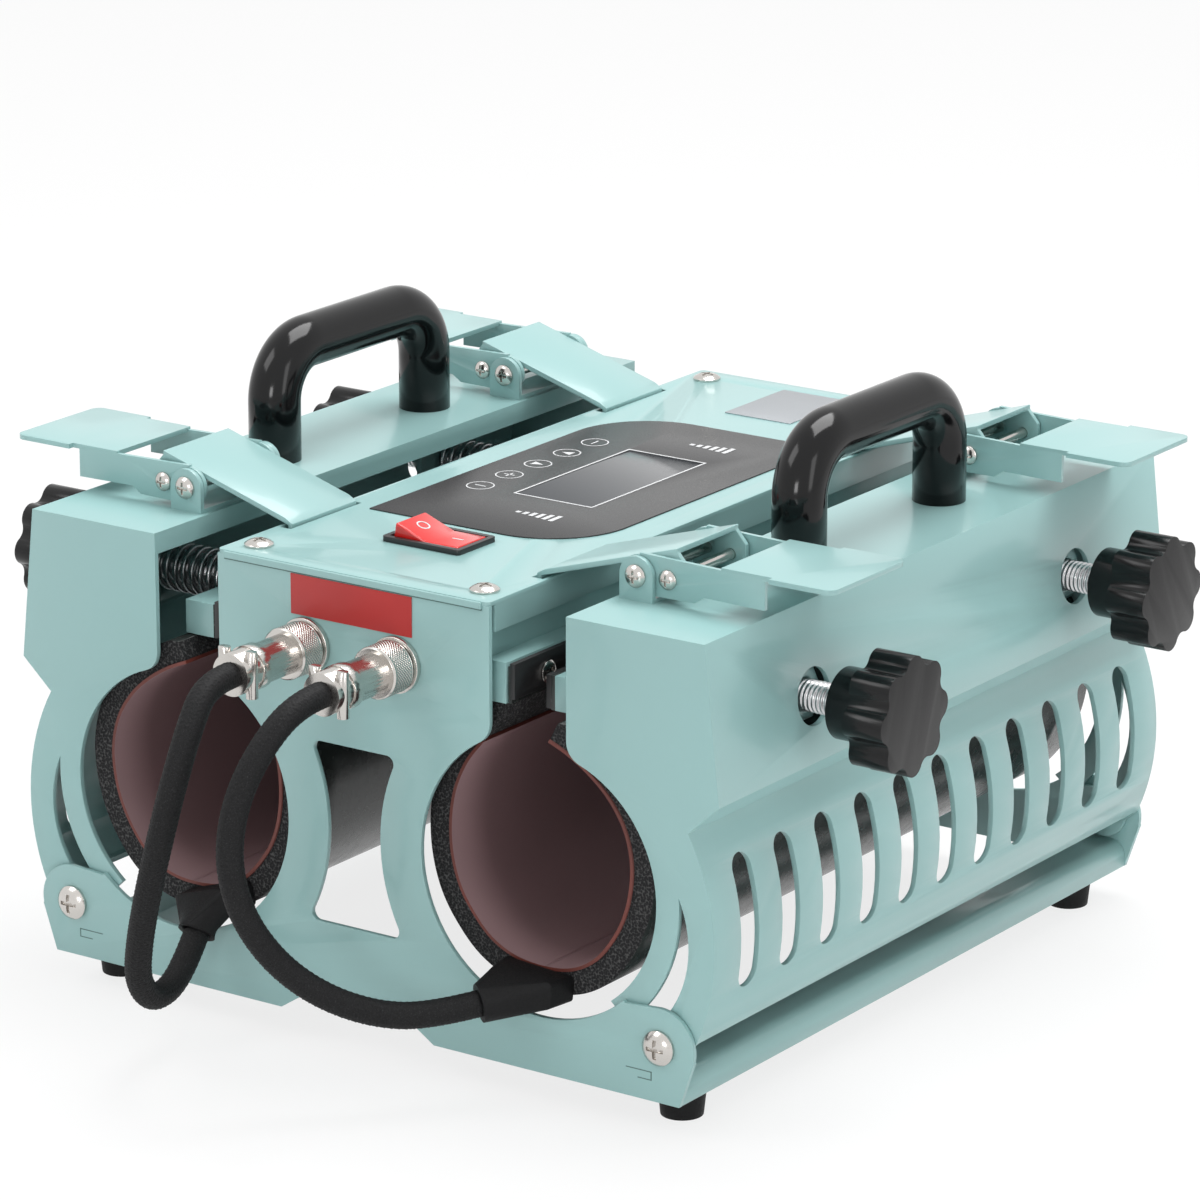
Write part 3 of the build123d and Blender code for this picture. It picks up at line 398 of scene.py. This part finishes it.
# The world is darker towards the ground, as in a studio with its light overhead.
GROUND_LEVEL, SKY_LEVEL = 0.16, 0.75
FLOOR_HALF = 6.0
FLOOR_GLOW = 0.8
world = bpy.data.worlds.new("studio")
bpy.context.scene.world = world
world.use_nodes = True
wtree = world.node_tree
sky = wtree.nodes.new("ShaderNodeTexCoord")
split = wtree.nodes.new("ShaderNodeSeparateXYZ")
link(wtree, sky, "Generated", split, "Vector")
dome = wtree.nodes.new("ShaderNodeMapRange")
dome.inputs["From Min"].default_value = -0.05
dome.inputs["From Max"].default_value = 0.75
dome.inputs["To Min"].default_value = GROUND_LEVEL
dome.inputs["To Max"].default_value = SKY_LEVEL
link(wtree, split, "Z", dome, "Value")
level = wtree.nodes.new("ShaderNodeMix")
level.data_type = "FLOAT"
level.inputs["B"].default_value = 1.0
link(wtree, seen_rays(wtree), "Value", level, "Factor")
link(wtree, dome, "Result", level, "A")
background = wtree.nodes["Background"]
background.inputs["Color"].default_value = (1, 1, 1, 1)
link(wtree, level, "Result", background, "Strength")

floor_bm = bmesh.new()
bmesh.ops.create_grid(floor_bm, x_segments=1, y_segments=1, size=FLOOR_HALF)
floor_mesh = bpy.data.meshes.new("floor")
floor_bm.to_mesh(floor_mesh)
floor_bm.free()
floor = bpy.data.objects.new("floor", floor_mesh)
bpy.context.scene.collection.objects.link(floor)
floor_mat, ftree, fbsdf = shader("floor_white", (0.86, 0.86, 0.86), 0.6)
floor_mesh.materials.append(floor_mat)
glow = ftree.nodes.new("ShaderNodeEmission")
glow.inputs["Color"].default_value = (1, 1, 1, 1)
glow.inputs["Strength"].default_value = 1.0
mix = ftree.nodes.new("ShaderNodeMixShader")
share = ftree.nodes.new("ShaderNodeMath")
share.operation = "MULTIPLY"
share.inputs[1].default_value = FLOOR_GLOW
link(ftree, seen_rays(ftree), "Value", share, 0)
link(ftree, share, "Value", mix, "Fac")
link(ftree, fbsdf, "BSDF", mix, 1)
link(ftree, glow, "Emission", mix, 2)
link(ftree, mix, "Shader", ftree.nodes["Material Output"], "Surface")
floor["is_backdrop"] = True

# Mat cables

PLUG_LENGTH = 44.0
SOCKET_X, SOCKET_Z = 20.0, 140.5
TAIL_REACH = 14.0
CABLE_RADIUS = 5.0
CABLE_SIDES = 72
CABLE_STEP = 0.45
ROUTES = {
    "right": [
        (SOCKET_X, -PLUG_LENGTH, SOCKET_Z),
        (SOCKET_X, -58, SOCKET_Z),
        (16, -72, 129),
        (11, -81, 111),
        (9, -84, 90),
        (11, -80, 69),
        (17, -70, 50),
        (27, -58, 36),
        (40, -44, 27),
        (53, -29, 24),
        (65, -TAIL_REACH, 27),
    ],
    "left": [
        (-SOCKET_X, -PLUG_LENGTH, SOCKET_Z),
        (-SOCKET_X, -58, SOCKET_Z),
        (-18, -70, 128),
        (-20, -77, 109),
        (-26, -78, 87),
        (-36, -73, 64),
        (-46, -66, 42),
        (-54, -58, 24),
        (-58, -46, 12),
        (-60, -33, 11),
        (-61, -22, 18),
        (-62, -TAIL_REACH, 27),
    ],
}


def braid_finish():
    """Black braided sleeve, flecked with fine noise in its colour and surface."""
    mat, tree, bsdf = shader("braided_sleeve", (0.02, 0.02, 0.021), 0.62, specular=0.2)
    fibre = noise(tree, 2400.0, 3.0, 0.7)
    stops = [
        (0.3, (0.003, 0.003, 0.003)),
        (0.6, (0.014, 0.014, 0.015)),
        (0.8, (0.08, 0.08, 0.08)),
    ]
    tint = ramp(tree, fibre, "Fac", stops)
    link(tree, tint, "Color", bsdf, "Base Color")
    bump(tree, fibre, "Fac", bsdf, 0.35, 0.0002)
    return mat


BRAID = braid_finish()
BRAID_YARNS = 12
BRAID_PITCH = 15.0
BRAID_RELIEF = 0.7


def braid_wave(distance, angle):
    """Height of two families of yarns that wind opposite ways and cross over each other."""
    turn = distance / MM / BRAID_PITCH * 2 * math.pi
    one = math.cos((angle + turn) * BRAID_YARNS / 2)
    two = math.cos((angle - turn) * BRAID_YARNS / 2)
    over = math.sin((angle + turn) * BRAID_YARNS / 4) * math.sin((angle - turn) * BRAID_YARNS / 4)
    height = max(abs(one) ** 0.8 * (0.75 + 0.25 * over), abs(two) ** 0.8 * (0.75 - 0.25 * over))
    return (height - 1.0) * BRAID_RELIEF * MM


def spline_points(name, route):
    """Even points on the smooth line that the route's control points lead."""
    curve = bpy.data.curves.new(name, "CURVE")
    curve.dimensions = "3D"
    curve.resolution_u = 40
    spline = curve.splines.new("NURBS")
    spline.points.add(len(route) - 1)
    for point, place in zip(spline.points, route):
        point.co = (*at(*place), 1.0)
    spline.order_u = 3
    spline.use_endpoint_u = True
    holder = bpy.data.objects.new(name, curve)
    bpy.context.scene.collection.objects.link(holder)
    bpy.context.view_layer.update()
    mesh = bpy.data.meshes.new_from_object(holder)
    line = [v.co.copy() for v in mesh.vertices]
    bpy.data.objects.remove(holder)
    total = sum((b - a).length for a, b in zip(line, line[1:]))
    count = int(total / (CABLE_STEP * MM))
    even = []
    walked, i = 0.0, 0
    for k in range(count + 1):
        goal = total * k / count
        while i < len(line) - 2 and walked + (line[i + 1] - line[i]).length < goal:
            walked += (line[i + 1] - line[i]).length
            i += 1
        run = (line[i + 1] - line[i]).length
        even.append(line[i].lerp(line[i + 1], min(1.0, (goal - walked) / run)))
    return even, total


for side, route in ROUTES.items():
    points, total = spline_points(f"route_{side}", route)
    lead = tube(
        f"mat_lead_{side}", points, CABLE_RADIUS, CABLE_SIDES, "frame", BRAID, braid_wave
    )
    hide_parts(f"cable_{side}")

# Painted sheet metal

for node in ("front_plate", "rear_plate", "side_rails", "housing_tray", "control_cover", "fixed_bars"):
    dress(node, "frame", [PAINT])
for side in ("left", "right"):
    dress(f"door_shell_{side}", f"door_{side}", [PAINT], width=0.5)
    dress(f"press_bar_{side}", f"bar_{side}", [PAINT], width=0.6)
    dress(f"handle_{side}", f"door_{side}", [BLACK], width=None)


PIN_SPAN = 12.0
LEVER_SPAN = 40.0
NUT_HEIGHT = 30.0


def bracket_parts(size):
    """The bracket is wide, and its pin is narrow."""
    return 0 if size[0] > PIN_SPAN else 1


def lever_parts(size):
    """The lever is long, and its pin is short."""
    return 0 if size[0] > LEVER_SPAN else 1


def nut_parts(size):
    """The bracket is tall, and its weld nut is low."""
    return 0 if size[2] > NUT_HEIGHT else 1


for side in ("left", "right"):
    door = f"door_{side}"
    dress(f"latch_brackets_{side}", door, [PAINT, CHROME], bracket_parts, 0.3)
    dress(f"nut_brackets_{side}", door, [PAINT, STEEL], nut_parts, 0.4)
    for end in ("front", "rear"):
        lever = f"lever_{end}_{side}"
        hook = f"hook_{end}_{side}"
        dress(lever, lever, [PAINT, CHROME], lever_parts, 0.3)
        dress(hook, hook, [PAINT], width=0.4)

# Small metal and rubber pieces

for node, mat, slot in (
    ("cover_screws", CHROME, "chrome"),
    ("hinge_screws", CHROME, "chrome"),
    ("strip_screws", CHROME, "chrome"),
    ("feet", RUBBER, "rubber_black"),
    ("clamp_strips", STRIP, "black_metal"),
    ("power_gland", PLASTIC, "black_plastic"),
    ("rocker_bezel", PLASTIC, "black_plastic"),
    ("control_board", BOARD, "board"),
):
    dress(node, "frame", [mat], width=0.25)


SCREW_SPAN = 50.0
HEM_SHEET = 1.8


def strip_parts(size):
    """The black strip, the mat's hem behind it and its screws."""
    if size[1] < SCREW_SPAN:
        return 2
    return 1 if size[0] < HEM_SHEET else 0


for side in ("left", "right"):
    pieces = [STRIP, BACKING, CHROME]
    dress(f"press_strip_{side}", f"bar_{side}", pieces, strip_parts, 0.2)
    for end in ("front", "rear"):
        knob = f"knob_{end}_{side}"
        dress(knob, knob, [BAKELITE], width=1.5, segments=4)

# Springs and threaded studs

SIGNS = {"left": -1, "right": 1}
STUDS = {"front": 66.0, "rear": 246.0}
STUD_Z = 135.35
SPRING_START, SPRING_END, SPRING_TURNS = 136.7, 92.4, 11
SPRING_RADIUS, SPRING_WIRE = 8.6, 1.0
SPRING_STEPS, SPRING_SIDES = 32, 12
THREAD_PITCH = 1.75
THREAD_DEPTH = 0.9
THREAD_STEP = 0.3
THREAD_RADIUS, THREAD_SIDES = 5.55, 28
STUD_INNER, STUD_OUTER = 89.3, 177.2


def thread_wave(distance, angle):
    """Ridges of a metric thread that winds along the stud."""
    phase = (distance / MM / THREAD_PITCH + angle / (2 * math.pi)) % 1.0
    return (abs(2 * phase - 1) - 0.5) * THREAD_DEPTH * MM


for side, sign in SIGNS.items():
    for end, depth in STUDS.items():
        knob = f"knob_{end}_{side}"
        steps = int((STUD_OUTER - STUD_INNER) / THREAD_STEP)
        line = [
            at(sign * (STUD_INNER + (STUD_OUTER - STUD_INNER) * i / steps), depth, STUD_Z)
            for i in range(steps + 1)
        ]
        name = f"stud_thread_{end}_{side}"
        stud = tube(name, line, THREAD_RADIUS, THREAD_SIDES, knob, STEEL, thread_wave)
        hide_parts(f"stud_{end}_{side}")
        coil = []
        for i in range(SPRING_TURNS * SPRING_STEPS + 1):
            turn = i / SPRING_STEPS
            along = SPRING_START + (SPRING_END - SPRING_START) * turn / SPRING_TURNS
            angle = 2 * math.pi * turn
            across = SPRING_RADIUS * math.cos(angle)
            rise = SPRING_RADIUS * math.sin(angle)
            coil.append(at(sign * along, depth + across, STUD_Z + rise))
        name = f"coil_{end}_{side}"
        spring = tube(name, coil, SPRING_WIRE, SPRING_SIDES, f"door_{side}", STEEL)
        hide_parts(f"springs_{side}")

# Heating mats: each is split at its lowest line into a fixed half and an outer half

MAT_INNER = [
    (63.4, 131.4), (59.0, 124.5), (52.8, 116.0), (45.8, 107.0), (40.8, 96.0), (38.8, 84.0),
    (39.4, 72.0), (42.6, 61.0), (48.3, 52.0), (56.2, 44.0), (66.5, 39.2), (79.0, 37.8),
    (90.5, 39.4), (99.8, 44.6), (106.8, 52.8), (112.0, 62.5), (114.8, 73.0), (115.2, 84.0),
    (112.3, 95.0), (106.0, 104.6), (98.0, 111.8), (89.0, 117.4), (80.6, 121.0),
]
MAT_LOWEST = 11
HEATER_FIRST = 2
HEATER_SHEET = 1.2
FOAM_THICK = 8.6
MAT_NEAR = 7.0
MAT_CEILING = 131.6
MAT_END_CEILING = 128.5
SMOOTH_STEPS = 6
MAT_ROWS = 14
LAYER_GAP = 0.1
FOAM_THIN = 2.2
THIN_SHARE = 5
HEATER_PROUD = 0.7


def smooth_line(places):
    """The places joined by a smooth curve that goes through them all."""
    line = []
    last = len(places) - 1
    for i in range(last):
        p0, p1 = places[max(i - 1, 0)], places[i]
        p2, p3 = places[i + 1], places[min(i + 2, last)]
        for k in range(SMOOTH_STEPS):
            t = k / SMOOTH_STEPS
            line.append(
                tuple(
                    0.5 * (2 * b + (c - a) * t + (2 * a - 5 * b + 4 * c - d) * t * t
                           + (3 * b - a - 3 * c + d) * t ** 3)
                    for a, b, c, d in zip(p0, p1, p2, p3)
                )
            )
    line.append(places[last])
    return line


def outward(line, i, reach):
    """A place on the line's outer side, kept below the clamp bars."""
    (x0, z0), (x1, z1) = line[max(i - 1, 0)], line[min(i + 1, len(line) - 1)]
    size = math.hypot(x1 - x0, z1 - z0)
    x, z = line[i]
    x += (z1 - z0) / size * reach
    z -= (x1 - x0) / size * reach
    ceiling = MAT_CEILING if x < 70 else MAT_END_CEILING
    return x, min(z, ceiling)


def mat_half(name, sign, first, last, inner, outer, near, body_finish):
    """One layer of a mat between two places of its section, from front to back."""
    line = smooth_line(MAT_INNER)
    span = range(first * SMOOTH_STEPS, last * SMOOTH_STEPS + 1)
    inside = [outward(line, i, inner) for i in span]
    outside = [outward(line, i, outer(i / len(line))) for i in span]
    rows = MAT_ROWS
    depths = [near + (DEPTH - 2 * near) * k / rows for k in range(rows + 1)]
    bm = bmesh.new()
    ins = [[bm.verts.new(at(sign * x, d, z)) for x, z in inside] for d in depths]
    outs = [[bm.verts.new(at(sign * x, d, z)) for x, z in outside] for d in depths]
    count = len(inside)
    for k in range(rows):
        for i in range(count - 1):
            face = bm.faces.new((ins[k][i], ins[k][i + 1], ins[k + 1][i + 1], ins[k + 1][i]))
            face.material_index = 0
            face = bm.faces.new((outs[k][i], outs[k + 1][i], outs[k + 1][i + 1], outs[k][i + 1]))
            face.material_index = 1
        for i in (0, count - 1):
            face = bm.faces.new((ins[k][i], ins[k + 1][i], outs[k + 1][i], outs[k][i]))
            face.material_index = 2
    for k in (0, rows):
        for i in range(count - 1):
            face = bm.faces.new((ins[k][i], outs[k][i], outs[k][i + 1], ins[k][i + 1]))
            face.material_index = 2
    bmesh.ops.recalc_face_normals(bm, faces=bm.faces)
    for face in bm.faces:
        face.smooth = face.material_index < 2
    mesh = bpy.data.meshes.new(name)
    bm.to_mesh(mesh)
    bm.free()
    obj = bpy.data.objects.new(name, mesh)
    bpy.context.scene.collection.objects.link(obj)
    for mat in body_finish:
        mesh.materials.append(mat)
    return obj


def foam_reach(share):
    """The foam is thinner where it runs up to the clamp."""
    thin = FOAM_THIN * max(0.0, 1 - share * THIN_SHARE)
    return HEATER_SHEET + LAYER_GAP + FOAM_THICK - thin


def heater_reach(share):
    """The heater sheet is as thick all along."""
    return HEATER_SHEET


FOAM_START = HEATER_SHEET + LAYER_GAP
HEATER_NEAR = MAT_NEAR - HEATER_PROUD
LAYERS = (
    ("foam", 0, FOAM_START, foam_reach, MAT_NEAR, [FOAM, BACKING, FOAM], "foam"),
    ("heater", HEATER_FIRST, 0.0, heater_reach, HEATER_NEAR, [SILICONE, EDGE, EDGE], "heater"),
)
for side, sign in SIGNS.items():
    for layer, first, inner, outer, near, finish, slot in LAYERS:
        end = len(MAT_INNER) - 1
        fixed = mat_half(f"{layer}_fixed_{side}", sign, first, MAT_LOWEST, inner, outer, near, finish)
        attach(fixed, "frame")
        moving = mat_half(f"{layer}_moving_{side}", sign, MAT_LOWEST, end, inner, outer, near, finish)
        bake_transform(moving)
        for half in (fixed, moving):
            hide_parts(f"{layer}_{side}")


def block(name, low, high, body, mat, width=0.3):
    """A plate or bar between two corners, with soft edges."""
    mesh = bpy.data.meshes.new(name)
    bm = bmesh.new()
    bmesh.ops.create_cube(bm, size=1.0)
    middle = (low + high) / 2
    for v in bm.verts:
        v.co = Vector(middle[i] + v.co[i] * abs(high[i] - low[i]) for i in range(3))
    bm.to_mesh(mesh)
    bm.free()
    obj = add_object(name, mesh, [mat], body)
    if width:
        soften(obj, width)
    return obj


TONGUE_X, TONGUE_Z = (63.1, 64.5), (131.9, 145.5)
for side, sign in SIGNS.items():
    low = at(sign * TONGUE_X[0], MAT_NEAR, TONGUE_Z[0])
    high = at(sign * TONGUE_X[1], DEPTH - MAT_NEAR, TONGUE_Z[1])
    block(f"mat_tongue_{side}", low, high, "frame", BACKING, 0.2)

# Cable ends: knurled coupling rings, sockets and moulded tails

RING_START = -2.6
RING_LENGTH = 11.4
RING_RADIUS = 9.7
RING_SIDES, RING_ROWS = 176, 76
RING_CHAMFER, RING_BORDER, BORDER_DEPTH = 0.8, 1.6, 0.35
KNURL_COUNT, KNURL_TWIST, KNURL_DEPTH = 22, 2.6, 0.55
PLUG_DEPTH = 13.0


def knurl_wave(distance, angle):
    """Diamond knurling between two plain chamfered ends."""
    along = distance / MM
    edge = min(along, RING_LENGTH - along)
    if edge < RING_CHAMFER:
        return (edge - RING_CHAMFER) * 0.9 * MM
    if edge < RING_BORDER:
        return -BORDER_DEPTH * MM
    around, twist = KNURL_COUNT * angle, along * KNURL_TWIST
    grid = abs(math.sin(around + twist)) * abs(math.sin(around - twist))
    return -KNURL_DEPTH * (1 - grid) * MM


def plug_parts(size):
    """Leaves out the coupling ring, which is short and is modelled with its knurling."""
    return None if size[1] < PLUG_DEPTH else 0


dress("panel_sockets", "frame", [CHROME], width=0.4)
for side, sign in SIGNS.items():
    dress(f"plug_{side}", "frame", [CHROME], plug_parts, 0.3)
    line = [
        at(sign * SOCKET_X, RING_START - RING_LENGTH * i / RING_ROWS, SOCKET_Z)
        for i in range(RING_ROWS + 1)
    ]
    name = f"knurled_ring_{side}"
    tube(name, line, RING_RADIUS, RING_SIDES, "frame", CHROME, knurl_wave)
    dress(f"mat_tail_{side}", "frame", [RUBBER], width=1.2, segments=3)

# Control panel print, rocker marks and small plates


def flat(name, outline, low, high, body, slot, mat, holes=()):
    """A thin flat piece from an outline of (x, depth) places."""
    curve = bpy.data.curves.new(name, "CURVE")
    curve.dimensions = "2D"
    curve.fill_mode = "BOTH"
    curve.extrude = (high - low) / 2 * MM
    for points in (outline, *holes):
        spline = curve.splines.new("POLY")
        spline.points.add(len(points) - 1)
        spline.use_cyclic_u = True
        for point, (x, depth) in zip(spline.points, points):
            place = at(x, depth, 0)
            point.co = (place.x, place.y, 0, 1)
    holder = bpy.data.objects.new(name, curve)
    bpy.context.scene.collection.objects.link(holder)
    bpy.context.view_layer.update()
    mesh = bpy.data.meshes.new_from_object(holder)
    bpy.data.objects.remove(holder)
    middle = at(0, 0, (low + high) / 2).z
    for v in mesh.vertices:
        v.co.z += middle
    return add_object(name, mesh, [mat], body)


def ring(x, depth, radius, sides=48):
    turns = [2 * math.pi * k / sides for k in range(sides)]
    return [(x + radius * math.cos(turn), depth + radius * math.sin(turn)) for turn in turns]


def rect(x0, x1, d0, d1):
    return [(x0, d0), (x1, d0), (x1, d1), (x0, d1)]


COVER_TOP = 169.8
PANEL_TOP = COVER_TOP + 0.5
INK = 0.08
for node, mat, slot in (
    ("display_overlay", OVERLAY, "overlay"),
    ("lcd_window", SCREEN, "screen"),
    ("red_plate", RED_FILM, "red_label"),
    ("grey_plate", GREY_FILM, "grey_plate"),
):
    dress(node, "frame", [mat], width=0.12)
dress("rocker_button", "rocker", [RED], width=0.8, segments=3)


def printed(name, outline, holes=()):
    """White print that lies on the panel film."""
    flat(name, outline, PANEL_TOP, PANEL_TOP + INK, "frame", "overlay", WHITE_INK, holes=holes)


def grown(x0, x1, d0, d1, border):
    return rect(x0 - border, x1 + border, d0 - border, d1 + border)


LCD = (-13.4, 20.2, 119.4, 193.0)
printed("screen_frame", grown(*LCD, 1.0), holes=[grown(*LCD, 0.2)])
KEY_X = -30.5
KEY_DEPTHS = (120.0, 138.5, 157.0, 176.0, 194.5)
KEY_RADIUS, KEY_BORE = 5.4, 4.9
SIGN_HALF, SIGN_LINE, ARROW_HALF = 2.4, 0.35, 2.0
for i, depth in enumerate(KEY_DEPTHS):
    x = KEY_X
    printed(f"key_ring_{i}", ring(x, depth, KEY_RADIUS), holes=[ring(x, depth, KEY_BORE)])
    if i in (0, 1):
        dash = rect(x - SIGN_HALF, x + SIGN_HALF, depth - SIGN_LINE, depth + SIGN_LINE)
        printed(f"key_dash_{i}", dash)
    if i in (1, 4):
        bar = rect(x - SIGN_LINE, x + SIGN_LINE, depth - SIGN_HALF, depth + SIGN_HALF)
        printed(f"key_bar_{i}", bar)
    if i in (2, 3):
        point = SIGN_HALF if i == 2 else -SIGN_HALF
        arrow = [
            (x - point, depth - ARROW_HALF), (x + point, depth), (x - point, depth + ARROW_HALF)
        ]
        printed(f"key_arrow_{i}", arrow)
LEVEL_DEPTHS = (99.0, 213.0)
LEVEL_COUNT, LEVEL_PITCH, LEVEL_WIDTH = 6, 3.3, 1.9
LEVEL_HALF, LEVEL_GROWTH = 1.0, 0.55
for group, depth in enumerate(LEVEL_DEPTHS):
    for i in range(LEVEL_COUNT):
        x = 1.0 + LEVEL_PITCH * i
        half = LEVEL_HALF + LEVEL_GROWTH * i
        printed(f"level_bar_{group}_{i}", rect(x, x + LEVEL_WIDTH, depth - half, depth + half))

ROCKER_Y, ROCKER_PIVOT_Z, ROCKER_TILT = 52.5, 168.5, math.radians(10.0)
ROCKER_SLOPE = math.atan2(2.6, 14.0)


def rocker_place(along, depth, lift):
    """A place on a face of the rocker, along being negative on its left face."""
    x = along * math.cos(ROCKER_SLOPE)
    z = 3.4 + abs(along) * math.sin(ROCKER_SLOPE) + lift
    c, s = math.cos(ROCKER_TILT), math.sin(ROCKER_TILT)
    return at(x * c + z * s, ROCKER_Y + depth, ROCKER_PIVOT_Z - x * s + z * c)


def rocker_mark(name, outer, inner=None):
    """A raised mark on the rocker from loops of (along, depth) places."""
    bm = bmesh.new()
    loops = [
        [[bm.verts.new(rocker_place(a, d, lift)) for a, d in loop] for lift in (-0.1, 0.12)]
        for loop in ([outer] if inner is None else [outer, inner])
    ]
    count = len(outer)
    for low_loop, high_loop in loops:
        for k in range(count):
            j = (k + 1) % count
            bm.faces.new((low_loop[k], low_loop[j], high_loop[j], high_loop[k]))
    for level_index in (0, 1):
        if inner is None:
            bm.faces.new(loops[0][level_index])
        else:
            for k in range(count):
                j = (k + 1) % count
                a, b = loops[0][level_index], loops[1][level_index]
                bm.faces.new((a[k], a[j], b[j], b[k]))
    bmesh.ops.recalc_face_normals(bm, faces=bm.faces)
    mesh = bpy.data.meshes.new(name)
    bm.to_mesh(mesh)
    bm.free()
    return add_object(name, mesh, [WHITE_INK], "rocker")


rocker_mark("rocker_off", ring(-8.0, 0.0, 2.6, 32), ring(-8.0, 0.0, 2.0, 32))
rocker_mark("rocker_on", rect(5.4, 10.4, -0.35, 0.35))

# Dark mint for thin blocks of painted shade: the shadow in the lanced slits of the front plate and in
# the gap under the cover's front lip.
SLIT_SHADE = grained("painted_slit_shade", (0.09, 0.17, 0.16), 0.5, 900.0)
LIP_HALF, LIP_LOW = 57.0, 166.9
block("cover_front_lip", at(-LIP_HALF, -0.9, LIP_LOW), at(LIP_HALF, 0.3, COVER_TOP - 0.2),
      "frame", PAINT, 0.5)
# A dark strip of painted shadow in the gap under the cover's front lip.
block("cover_seam_shade", at(-LIP_HALF, -0.05, LIP_LOW - 0.5), at(LIP_HALF, 0.2, LIP_LOW + 0.4),
      "frame", SLIT_SHADE, None)
# The lanced tabs' slits, drawn as thin dark strips of painted shade.
LANCES = ((118.0, 129.0, 10.6, 11.0), (128.5, 129.0, 7.8, 11.0), (123.0, 129.0, 7.6, 8.0))
for side, sign in SIGNS.items():
    for i, (x0, x1, z0, z1) in enumerate(LANCES):
        low, high = at(sign * x0, -0.04, z0), at(sign * x1, 0.2, z1)
        block(f"lance_{i}_{side}", low, high, "frame", SLIT_SHADE, None)

bpy.context.scene.view_settings.view_transform = "Standard"
low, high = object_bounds()
